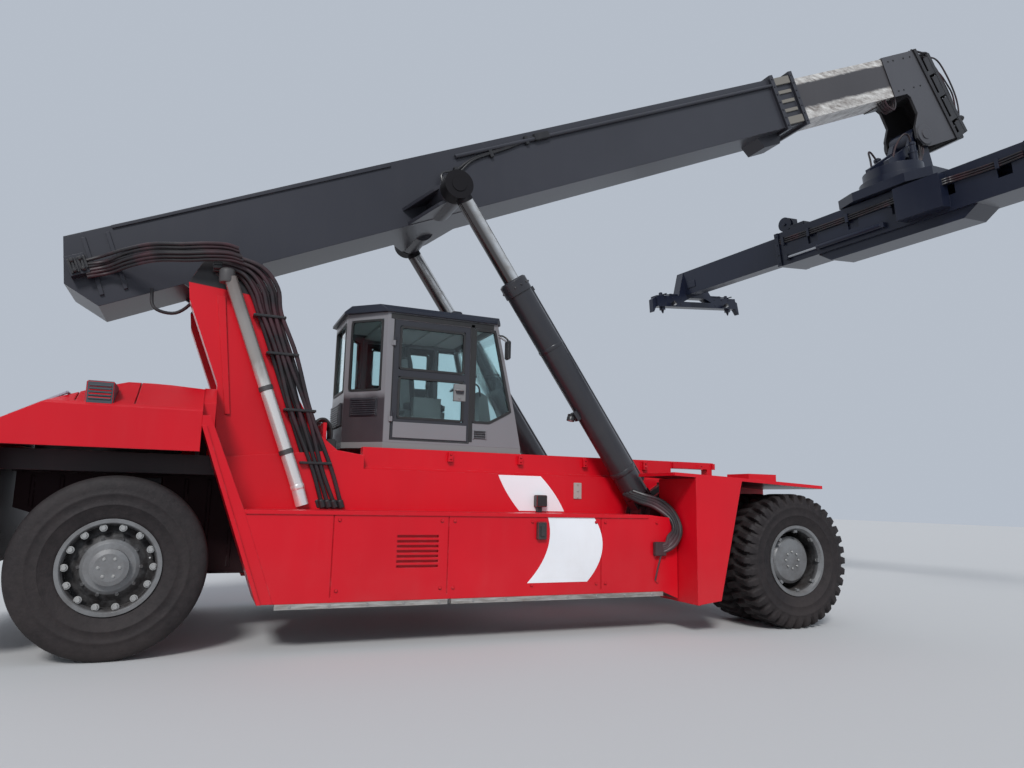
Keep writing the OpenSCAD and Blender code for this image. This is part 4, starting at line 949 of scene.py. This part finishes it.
for side, name in SIDES:
    ram = ram_frame(side)
    bm = bmesh.new()
    for y, z in round_points(12, 1):
        out = Vector((0, y, z))
        bolt_into(bm, Vector((TUBE_LONG - 0.1, 0, 0)) + out * GLAND_R, out, 0.011, ram)
    for low, long, proud in ((0.62, 0.06, 0.009), (2.42, 0.05, 0.006)):
        turned_into(bm, ram @ turned_by(90, "Y"), [(TUBE_R - 0.004, low), (TUBE_R + proud - 0.003, low),
            (TUBE_R + proud, low + 0.005), (TUBE_R + proud, low + long - 0.005),
            (TUBE_R + proud - 0.003, low + long), (TUBE_R - 0.004, low + long)], 40, hollow=True)
    new_piece("ram_bands_" + name, bm, "cylinder_" + name, barrel_paint)
    bm, glass_bm = bmesh.new(), bmesh.new()
    lamp_into(bm, glass_bm, ram @ Vector((1.56, 0, TUBE_R + 0.11)), (-0.2, 0, -1))
    block_into(bm, (1.545, -0.015, TUBE_R + 0.03), (1.575, 0.015, TUBE_R + 0.1), ram, 0.003)
    new_piece("ram_lamp_" + name, bm, "cylinder_" + name, black_paint)
    new_piece("ram_lens_" + name, glass_bm, "cylinder_" + name, lens)
    bm = bmesh.new()
    for k in range(4):
        out, drop, turn = 0.035 * k, 0.026 * k, math.radians(34 + 16 * k)
        tube_into(bm, [ram @ Vector((0.4, side * 0.165 * math.cos(turn), 0.165 * math.sin(turn))),
            (-1.74 - out, side * 1.36, 1.56 - drop), (-1.62 - out, side * 1.52, 1.5 - drop),
            (-1.555 - out * 0.4, side * (1.69 - drop * 0.3), 1.36 - drop),
            (-1.545 - out * 0.4, side * (1.8 - drop), 1.16),
            (-1.6 - out * 0.4, side * (1.775 - drop), 1.0 + drop), (-1.7, side * 1.725, 0.92 + drop),
            (-1.8, side * 1.69, 0.9 + drop)], 0.026)
    tube_into(bm, [(-1.74, side * 1.72, 0.95), (-1.8, side * 1.715, 0.76),
        (-1.84, side * 1.7, 0.58)], 0.01, 8)
    turned_into(bm, axis_matrix((RAM_FOOT.x, side * 1.29, RAM_FOOT.z), (0, side, 0)),
        [(0, 0), (0.15, 0), (0.15, 0.014), (0.105, 0.02), (0.1, 0.036), (0, 0.036)], 32)
    block_into(bm, (-1.86, 1.685, 0.86), (-1.7, 1.735, 1.02), Matrix.Diagonal((1, side, 1, 1)), 0.008)
    new_piece("ram_hoses_" + name, bm, "chassis", hose_rubber, outward=True)

# Turning head
# The hanger, a heavy casting on the boom's pin, carries the slewing ring with
# its bolts and motors; the carriage below it slides along the spreader.

navy = coat("spreader_navy", (0.009, 0.012, 0.026), dust=(0.06, 0.06, 0.07), amount=0.4, reach=4.0,
    shine=0.35, gloss=(0.34, 0.7), edge=0.4, bare=(0.1, 0.1, 0.12), width=0.008, clear=0.2)
dress(navy, "yoke", "carriage", "spreader_frame", "arm_far", "arm_near")
HANG = Matrix.Translation((5.15, 0, 8.4)) @ turned_by(-7.5, "Y")
RING_AT = HANG @ Matrix.Translation((-0.55, 0, -2.1))
SPREAD = RING_AT @ turned_by(9, "Z")
bm = bmesh.new()
bolts_into(bm, [(x, y, 1.4905) for x, y in round_points(36, 0.475)], (0, 0, 1), 0.015, RING_AT)
for side in (-1, 1):
    place = RING_AT @ Matrix.Translation((0.12, side * 0.37, 1.68))
    turned_into(bm, place, [(0, 0), (0.082, 0), (0.082, 0.03), (0.06, 0.04), (0.06, 0.15), (0.07, 0.16),
        (0.07, 0.2), (0.04, 0.225), (0, 0.225)], 28)
    bolts_into(bm, [(x, y, 0.03) for x, y in round_points(4, 0.066, 0.5)], (0, 0, 1), 0.01, place)
new_piece("slew_bolts", bm, "hanger", navy)
bm = bmesh.new()
for side in (-1, 1):
    tube_into(bm, [(0.12, side * 0.37, 1.84), (0.02, side * 0.4, 2.02), (-0.1, side * 0.36, 2.0),
        (-0.2, side * 0.27, 1.8), (-0.26, side * 0.22, 1.56)], 0.018, place=RING_AT)
    for k in range(3):
        tube_into(bm, [(0.45 + 0.03 * k, side * 0.262, 2.02), (0.42 + 0.05 * k, side * 0.3, 1.82),
            (0.32 + 0.03 * k, side * 0.34, 1.62), (0.22 + 0.05 * k, side * 0.31, 1.52)],
            0.017, place=RING_AT)
new_piece("hanger_hoses", bm, "hanger", hose_rubber)

# Spreader
# Two box tubes side by side, each with a telescopic arm; the arms end in a
# cross beam with corner guides and twistlocks. Small rams, clamped hoses, a
# hose drum and lamps are bolted along it.

steel_bright = coat("sliding_steel", (0.4, 0.41, 0.43), amount=0.2, edge=0.0, metal=0.85,
    gloss=(0.28, 0.6), width=0.002)


def ram_into(tube_bm, rod_bm, place, start, end, share, radius):
    """A small ram: tube over one share of its length, rod over the rest."""
    start, end = Vector(start), Vector(end)
    seat = place @ axis_matrix(start, end - start)
    long = (end - start).length
    cut = long * share
    turned_into(tube_bm, seat, [(0, 0), (radius * 0.8, 0), (radius, 0.02), (radius, cut - 0.06),
        (radius * 1.15, cut - 0.06), (radius * 1.15, cut), (0, cut)], 24)
    turned_into(rod_bm, seat, [(0, cut), (radius * 0.5, cut), (radius * 0.5, long), (0, long)], 20)


bm, rods, hoses = bmesh.new(), bmesh.new(), bmesh.new()
TUBE_V, TUBE_TOP, TUBE_HALF = 0.437, 0.992, 2.4
BEAM_V = 5.226
for side in (-1, 1):
    ram_u = side * (TUBE_V + 0.062)
    ram_into(bm, rods, SPREAD, (ram_u, 0.1, 0.42), (ram_u, 2.12, 0.42), 0.66, 0.045)
    for v in (0.08, 2.14):
        block_into(bm, (side * TUBE_V, v - 0.04, 0.37),
            (ram_u + side * 0.03, v + 0.04, 0.47), SPREAD, 0.006)
    edge_u = side * (TUBE_V + 0.035)
    bolts_into(bm, [(edge_u, v, w) for v in (-TUBE_HALF + 0.045, TUBE_HALF - 0.045)
        for w in (0.35, 0.52, 0.74, 0.92)], (side, 0, 0), 0.014, SPREAD)
    for k in range(3):
        u = side * (TUBE_V + 0.03)
        row = SPREAD @ Matrix.Translation((0, 0, -0.04 * k))
        tube_into(hoses, [(u, -2.28, 0.84), (u, -1.8, 0.82), (u, -1.25, 0.84),
            (u + side * 0.1, -1.14, 0.82), (u + side * 0.15, -1.06, 0.8)], 0.016, place=row)
        tube_into(hoses, [(u + side * 0.14, -0.34, 0.8), (u + side * 0.06, -0.2, 0.82), (u, 0.2, 0.83),
            (u, 1.2, 0.82), (u, 2.28, 0.84)], 0.016, place=row)
    for v in (-1.9, -0.1, 0.75, 1.6, 2.2):
        block_into(bm, (side * TUBE_V, v - 0.03, 0.7),
            (side * (TUBE_V + 0.06), v + 0.03, 0.87), SPREAD, 0.004)
# Hose drum and its post on the far end, junction box beside it.
turned_into(bm, SPREAD @ axis_matrix((-0.14, 2.275, TUBE_TOP + 0.2), (-1, 0, 0)),
    [(0, 0), (0.15, 0), (0.15, 0.012), (0.09, 0.014), (0.09, 0.085), (0.15, 0.087), (0.15, 0.1),
    (0.03, 0.1), (0.03, 0.13), (0, 0.13)], 32)
blocks_into(bm, SPREAD, ((-0.125, 2.205, TUBE_TOP), (0.125, 2.345, TUBE_TOP + 0.335), 0.008),
    ((-0.305, 1.775, TUBE_TOP), (0.305, 2.125, TUBE_TOP + 0.115), 0.01))
new_piece("spreader_fittings", bm, "spreader", navy)
new_piece("spreader_rods", rods, "spreader", steel_bright)
new_piece("spreader_hoses", hoses, "spreader", hose_rubber)

for flip, name in ((0, "far"), (180, "near")):
    arm = SPREAD @ turned_by(flip, "Z")
    bm, shells, lenses = bmesh.new(), bmesh.new(), bmesh.new()
    for out in (-1, 1):
        bolts_into(bm, [(u, BEAM_V + 0.1 * out, w) for u in (-1.1, -0.85, -0.6, 0.6, 0.85, 1.1)
            for w in (0.13, 0.28)], (0, out, 0), 0.013, arm)
    for u in (-1.129, 1.129):
        turned_into(bm, arm @ Matrix.Translation((u, BEAM_V, 0.33)),
            [(0, 0), (0.075, 0), (0.075, 0.03), (0.045, 0.035), (0.045, 0.08), (0.03, 0.095),
            (0, 0.095)], 24)
        block_into(bm, (u - 0.02, BEAM_V - 0.19, 0.345), (u + 0.02, BEAM_V, 0.365), arm, 0.004)
        ram_into(bm, bm, arm, (u * 0.45, BEAM_V - 0.04, 0.37), (u * 0.94, BEAM_V - 0.04, 0.37), 0.65, 0.026)
    block_into(bm, (-0.41, 4.78, 0.5), (-0.395, 5.03, 0.66), arm, 0.004)
    new_piece("arm_fittings_" + name, bm, "spreader_arm_" + name, navy)
    for u in (-0.9, 0.9):
        at = arm @ Vector((u, BEAM_V - 0.21, 0.1))
        lamp_into(shells, lenses, at, arm.to_3x3() @ Vector((0, -0.5, -1)))
        block_into(shells, (u - 0.012, BEAM_V - 0.21, 0.11), (u + 0.012, BEAM_V - 0.1, 0.15), arm, 0.003)
    new_piece("arm_lamps_" + name, shells, "spreader_arm_" + name, black_paint)
    new_piece("arm_lenses_" + name, lenses, "spreader_arm_" + name, lens)

# Cab
# A narrow cab that rolls along the rails: light grey steel, dark doors with
# rubber seals, tinted glass, a slate roof.


def shaded_rear(tree):
    """Light grey, with painted shade low on the rear walls."""
    place = axes(tree)
    rear = scaled(place["X"], -4.925, -4.935)
    low = scaled(sums("ADD", place["Z"], times(noise(tree, 4.0), 0.1)), 2.74, 2.66)
    return blended(times(rear, low), (0.2, 0.196, 0.208), (0.04, 0.032, 0.038))


cab_grey = coat("cab_grey", shaded_rear, dust=(0.2, 0.185, 0.17), amount=0.35, reach=3.2, edge=0.3,
    bare=(0.3, 0.3, 0.3), width=0.008, clear=0.1)
dress(cab_grey, "cab_shell")
slate_roof = coat("slate_roof", (0.022, 0.026, 0.038), dust=(0.07, 0.07, 0.08), shine=0.25, amount=0.3,
    reach=3.0, gloss=(0.4, 0.7), edge=0.3, width=0.012)
dress(slate_roof, "cab_roof")
door_paint = coat("door_charcoal", (0.026, 0.027, 0.034), dust=(0.12, 0.11, 0.1), amount=0.3, reach=3.0,
    edge=0.3, width=0.006)
dress(door_paint, "door_r", "door_l")
rubber = coat("seal_rubber", (0.016, 0.016, 0.017), amount=0.4, gloss=(0.55, 0.85), edge=0.0,
    width=0.002, bump=0.1)
trim_grey = coat("cab_trim", (0.2, 0.2, 0.2), amount=0.3, edge=0.2, width=0.003)
dress(trim_grey, "cab_floor")

tinted, tree, shader = blank_finish("tinted_glass", Base_Color=(0.8, 0.97, 0.97),
    Transmission_Weight=1.0, IOR=1.45)
smear = scaled(noise(tree, 3.0, 6.0, 0.7, stretch=(1, 1, 0.4)), 0.4, 0.75, 0.015, 0.1)
feed(smear, shader.inputs["Roughness"])
dress(tinted, "cab_glass", "door_glass_r", "door_glass_l")

CAB_X, CAB_Y = -4.93, 0.8
SCREEN_X, BROW_X = CAB_X + 1.73, CAB_X + 1.39
DOOR_X, DOOR_END_X = CAB_X + 0.085, CAB_X + 1.035


def frame_into(bm, corners, wide, low, high, place=LEVEL):
    """A mitred frame of bar round an outline in X and Z, from Y low to high."""
    middle = sum((Vector((x, z)) for x, z in corners), Vector((0, 0))) / len(corners)
    inner = []
    count = len(corners)
    for k, (x, z) in enumerate(corners):
        here = Vector((x, z))
        inward = []
        for edge in (here - Vector(corners[k - 1]), Vector(corners[(k + 1) % count]) - here):
            square = Vector((-edge.y, edge.x)).normalized()
            inward.append(-square if square.dot(middle - here) < 0 else square)
        halfway = (inward[0] + inward[1]).normalized()
        inner.append(here + halfway * (wide / max(0.3, halfway.dot(inward[0]))))
    rings = []
    for line, y in ((corners, low), (corners, high), (inner, high), (inner, low)):
        rings.append([bm.verts.new(place @ Vector((p[0], y, p[1]))) for p in line])
    skin(bm, rings + rings[:1])


def oblong(left, right, low, high):
    return [(left, low), (right, low), (right, high), (left, high)]


def rounded(corners, radius, steps=4):
    """An outline with its corners rounded."""
    made = []
    count = len(corners)
    for k in range(count):
        here = Vector(corners[k])
        sides = [Vector(corners[k - 1]) - here, Vector(corners[(k + 1) % count]) - here]
        a, b = (here + side.normalized() * min(radius, side.length / 2) for side in sides)
        for s in range(steps + 1):
            t = s / steps
            made.append(tuple(a * (1 - t) ** 2 + here * 2 * t * (1 - t) + b * t * t))
    return made


PANE_X = (DOOR_X + 0.065, DOOR_END_X - 0.065)
QUARTER = [(CAB_X + 1.085, 2.38), (CAB_X + 1.31, 2.38), (SCREEN_X - 0.13, 2.54), (BROW_X - 0.022, 3.56),
    (CAB_X + 1.085, 3.56)]
for side, name in SIDES:
    mirror = Matrix.Diagonal((1, side, 1, 1))
    bm = bmesh.new()
    for sill, head in ((2.96, 3.49), (2.38, 2.88)):
        frame_into(bm, rounded(oblong(*PANE_X, sill, head), 0.05), 0.026, 0.768, 0.806, mirror)
    new_piece("door_seals_" + name, bm, "cab_door_" + name, rubber, outward=True)
    bm = bmesh.new()
    frame_into(bm, rounded(QUARTER, 0.04), 0.03, 0.775, 0.806, mirror)
    frame_into(bm, oblong(DOOR_X - 0.012, DOOR_END_X + 0.014, 2.13, 3.575), 0.008, 0.79, 0.803, mirror)
    blocks_into(bm, mirror, ((DOOR_END_X + 0.006, 0.797, 2.15), (CAB_X + 1.088, 0.805, 3.6), 0.002),
        ((DOOR_X - 0.05, 0.797, 3.565), (BROW_X - 0.05, 0.805, 3.63), 0.002))
    new_piece("window_seals_" + name, bm, "cab", rubber, outward=True)
    bm = bmesh.new()
    block_into(bm, (DOOR_END_X - 0.195, 0.77, 2.635), (DOOR_END_X - 0.045, 0.812, 2.845), mirror, 0.004)
    tube_into(bm, [(DOOR_END_X - 0.175, 0.81, 2.765), (DOOR_END_X - 0.165, 0.838, 2.765),
        (DOOR_END_X - 0.09, 0.838, 2.765), (DOOR_END_X - 0.08, 0.81, 2.765)], 0.009, 8, place=mirror)
    turned_into(bm, axis_matrix(mirror @ Vector((DOOR_END_X - 0.125, 0.812, 2.675)), (0, side, 0)),
        [(0, 0), (0.016, 0), (0.016, 0.006), (0.011, 0.008), (0, 0.008)], 20)
    new_piece("door_handle_" + name, bm, "cab_door_" + name, trim_grey, outward=True)
    bm = bmesh.new()
    block_into(bm, (DOOR_X + 0.02, 0.8, 2.155), (DOOR_END_X - 0.02, 0.806, 2.345), mirror, 0.008)
    new_piece("door_skirt_" + name, bm, "cab_door_" + name, cab_grey, outward=True)
    bm = bmesh.new()
    for k in range(7):
        block_into(bm, (CAB_X + 1.11, 0.8, 2.195 + 0.0145 * k),
            (CAB_X + 1.26, 0.811, 2.203 + 0.0145 * k), mirror, 0.001)
    block_into(bm, (CAB_X + 1.478, 0.822, 3.192), (CAB_X + 1.527, 0.928, 3.428), mirror, 0.012)
    tube_into(bm, [(CAB_X + 1.4, 0.79, 3.5), (CAB_X + 1.45, 0.84, 3.49), (CAB_X + 1.5, 0.875, 3.44),
        (CAB_X + 1.5, 0.875, 3.4)], 0.011, 8, place=mirror)
    new_piece("mirror_and_vent_" + name, bm, "cab", black_paint, outward=True)

# Seals of the rear windows and louvres under the angled ones.
REAR_X = CAB_X - 0.4
bm, louvres = bmesh.new(), bmesh.new()
for side in (-1, 1):
    start, end = Vector((REAR_X, side * 0.4)), Vector((CAB_X, side * CAB_Y))
    along = (end - start).normalized()
    place = Matrix(((along.x, -abs(along.y), 0, start.x), (along.y, side * abs(along.x), 0, start.y),
        (0, 0, 1, 0), (0, 0, 0, 1)))
    middle = (end - start).length / 2
    pane = oblong(middle - 0.225, middle + 0.225, 2.7, 3.56)
    frame_into(bm, rounded(pane, 0.05), 0.026, -0.02, 0.008, place)
    block_into(louvres, (middle - 0.19, 0.0, 2.4), (middle + 0.19, 0.01, 2.62), place, 0.004)
    for k in range(8):
        block_into(louvres, (middle - 0.17, 0.008, 2.415 + 0.025 * k),
            (middle + 0.17, 0.02, 2.43 + 0.025 * k), place, 0.002)
middle_pane = rounded(oblong(-0.34, 0.34, 2.7, 3.56), 0.05)
frame_into(bm, middle_pane, 0.026, -0.02, 0.008, Matrix.Translation((REAR_X, 0, 0)) @ turned_by(90, "Z"))
block_into(louvres, (REAR_X - 0.03, -0.3, 2.3), (REAR_X, 0.3, 2.58), soft=0.006)
for k in range(9):
    block_into(louvres, (REAR_X - 0.042, -0.27, 2.32 + 0.028 * k),
        (REAR_X - 0.025, 0.27, 2.335 + 0.028 * k), soft=0.002)
new_piece("rear_seals", bm, "cab", rubber, outward=True)
new_piece("rear_louvres", louvres, "cab", door_paint, outward=True)

# Cab inside
# A sprung seat with foam cushions in dark cloth, a pedestal with the steering
# wheel, a lever console and a small screen.

seat_cloth, tree, shader = blank_finish("seat_cloth", Roughness=0.85, Sheen_Weight=0.3)
weave = knot(tree, "ShaderNodeTexWave", Scale=90.0, Distortion=2.0, Vector=stretched(tree, (1, 1, 1)))
soil = scaled(noise(tree, 6.0, 5.0), 0.35, 0.7)
feed(blended(soil, (0.022, 0.022, 0.026), (0.05, 0.05, 0.055)), shader.inputs["Base Color"])
cloth_bump = knot(tree, "ShaderNodeBump", Strength=0.3, Distance=0.002, Height=weave.outputs["Fac"])
feed(cloth_bump.outputs["Normal"], shader.inputs["Normal"])


def cushion(name, place, size, crown):
    """A crowned cushion: a lofted pad whose sides pull in between its corners."""
    bm = bmesh.new()
    long, wide, thick = size
    cells = range(18)
    count = len(cells)

    def corner(i, j, top):
        u, v = 2 * i / count - 1, 2 * j / count - 1
        pull = 1 - 0.035 * (1 - v * v) * abs(u) ** 3
        pull_v = 1 - 0.035 * (1 - u * u) * abs(v) ** 3
        dome = (1 - abs(u) ** 4) * (1 - abs(v) ** 4)
        seam = 0.012 * math.exp(-((abs(v) - 0.56) / 0.06) ** 2) if top > 0 else 0.0
        swell = 0.28 + (crown if top > 0 else 0.0)
        height = top * thick * (0.22 + swell * dome ** 0.5) - seam * dome
        return bm.verts.new(place @ Vector((u * pull * long / 2, v * pull_v * wide / 2, height)))

    layers = [[[corner(i, j, top) for j in range(count + 1)] for i in range(count + 1)] for top in (1, -1)]
    for layer, flip in zip(layers, (1, -1)):
        for i in cells:
            for j in cells:
                patch = [layer[i][j], layer[i + 1][j], layer[i + 1][j + 1], layer[i][j + 1]]
                bm.faces.new(patch[::flip])
    edge = ([(i, 0) for i in cells] + [(count, j) for j in cells] + [(count - i, count) for i in cells]
        + [(0, count - j) for j in cells])
    skin(bm, [[layer[i][j] for i, j in edge] for layer in layers])
    piece = new_piece(name, bm, "cab", seat_cloth, 70, outward=True)


cushion("seat_cushion", Matrix.Translation((CAB_X + 0.63, 0, 2.6)), (0.54, 0.54, 0.15), 0.08)
BACK = Matrix.Translation((CAB_X + 0.44, 0, 2.92)) @ turned_by(84, "Y")
cushion("seat_back", BACK, (0.62, 0.5, 0.13), 0.08)
cushion("head_rest", Matrix.Translation((CAB_X + 0.415, 0, 3.3)) @ turned_by(84, "Y"),
    (0.17, 0.3, 0.1), 0.08)
bm = bmesh.new()
wheel = axis_matrix((CAB_X + 1.235, 0, 2.985), (-0.55, 0, 0.83))
rim = round_points(24, 0.2)
tube_into(bm, [(x, y, 0) for x, y in rim + rim[:1]], 0.014, place=wheel, steps=1, closed_ends=False)
for k in range(3):
    turn = 2 * math.pi * k / 3 + 0.5
    tube_into(bm, [(0, 0, -0.02), (0.1 * math.cos(turn), 0.1 * math.sin(turn), -0.015),
        (0.19 * math.cos(turn), 0.19 * math.sin(turn), 0)], 0.011, 8, place=wheel)
turned_into(bm, wheel, [(0, -0.05), (0.04, -0.05), (0.05, -0.02), (0.045, 0.01), (0, 0.016)], 24)
turned_into(bm, axis_matrix((CAB_X + 0.62, -0.36, 2.7), (0.1, 0, 1)),
    [(0, 0), (0.035, 0), (0.028, 0.03), (0.012, 0.05), (0.012, 0.12), (0.026, 0.14), (0.03, 0.18),
    (0.02, 0.21), (0, 0.215)], 20)
for k in range(6):
    turned_into(bm, axis_matrix((CAB_X + 0.5 + 0.045 * k, -0.385, 2.7), (0, 0, 1)),
        [(0, 0), (0.012, 0), (0.01, 0.012), (0, 0.012)], 12)
block_into(bm, (CAB_X + 1.16, -0.52, 2.88), (CAB_X + 1.19, -0.3, 3.05), soft=0.008)
tube_into(bm, [(CAB_X + 1.19, -0.41, 2.95), (CAB_X + 1.3, -0.4, 2.9), (CAB_X + 1.38, -0.26, 2.8)], 0.012, 8)
new_piece("controls", bm, "cab", black_paint)
bm = bmesh.new()
foot = Matrix.Translation((CAB_X + 1.705, -0.15, 2.5))
tube_into(bm, [(0, 0, 0), (-0.09, 0.1, 0.3), (-0.19, 0.22, 0.66)], 0.009, 8, foot)
tube_into(bm, [(-0.03, -0.1, 0.12), (-0.19, 0.22, 0.66), (-0.27, 0.34, 0.92)], 0.007, 6, foot)
new_piece("wiper", bm, "cab", black_paint, outward=True)
bm = bmesh.new()
blocks_into(bm, LEVEL, ((CAB_X + 0.85, -0.62, 3.71), (CAB_X + 0.98, -0.46, 3.8), 0.012),
    ((CAB_X + 0.2, -0.3, 3.725), (CAB_X + 0.8, 0.3, 3.765), 0.015))
new_piece("roof_blocks", bm, "cab", slate_roof)

# Pressed headliner under the roof, in pale felt.
felt = coat("headliner_felt", (0.62, 0.63, 0.62), amount=0.2, reach=3.0, gloss=(0.8, 0.95),
    edge=0.0, width=0.002)
bm = bmesh.new()
for k in range(5):
    half = 0.7 if k else 0.42
    block_into(bm, (CAB_X - 0.3 + 0.325 * k, -half, 3.59),
        (CAB_X + 0.015 + 0.325 * k, half, 3.622), soft=0.012)
new_piece("headliner", bm, "cab", felt)

# Handrail
# Bent black steel tube behind the cab, welded to round feet that small bolts
# hold to the deck.

handrail_black = coat("handrail_black", (0.02, 0.02, 0.02), amount=0.4, edge=0.0, width=0.002)
dress(handrail_black, "handrails")
bm = bmesh.new()
FOOT_X, DECK_Z = -5.55, 1.33
for y in (1.01, 1.56):
    turned_into(bm, Matrix.Translation((FOOT_X, y, DECK_Z)),
        [(0, 0), (0.05, 0), (0.05, 0.008), (0.026, 0.012), (0.022, 0.03), (0, 0.03)], 24)
    bolts_into(bm, [(FOOT_X + dx, y + dy, DECK_Z + 0.008) for dx, dy in round_points(4, 0.037, 0.5)],
        (0, 0, 1), 0.006)
new_piece("rail_feet", bm, "chassis", handrail_black)

# Valve bank
# Three black painted blocks bolted to the front of the wall between the tower's
# plates, with rubber hoses that climb over the wall from them.

WALL_FRONT, WALL_TOP = -5.54, 2.3
bm = bmesh.new()
for left, right, top in ((-0.57, -0.16, 2.12), (-0.1, 0.24, 2.04), (0.3, 0.57, 2.14)):
    block_into(bm, (WALL_FRONT, left, 1.8), (WALL_FRONT + 0.13, right, top), soft=0.016)
    for y in (left + 0.05, right - 0.05):
        bolt_into(bm, (WALL_FRONT + 0.13, y, 1.86), (1, 0, 0), 0.014)
    for y in (left + 0.1, (left + right) / 2, right - 0.1):
        tube_into(bm, [(WALL_FRONT + 0.08, y, top - 0.01), (WALL_FRONT + 0.07, y, WALL_TOP - 0.04),
            (WALL_FRONT, y, WALL_TOP + 0.05), (WALL_FRONT - 0.09, y, WALL_TOP + 0.02),
            (WALL_FRONT - 0.11, y, WALL_TOP - 0.14), (WALL_FRONT - 0.11, y, 1.8)], 0.019)
new_piece("valve_bank", bm, "chassis", handrail_black)
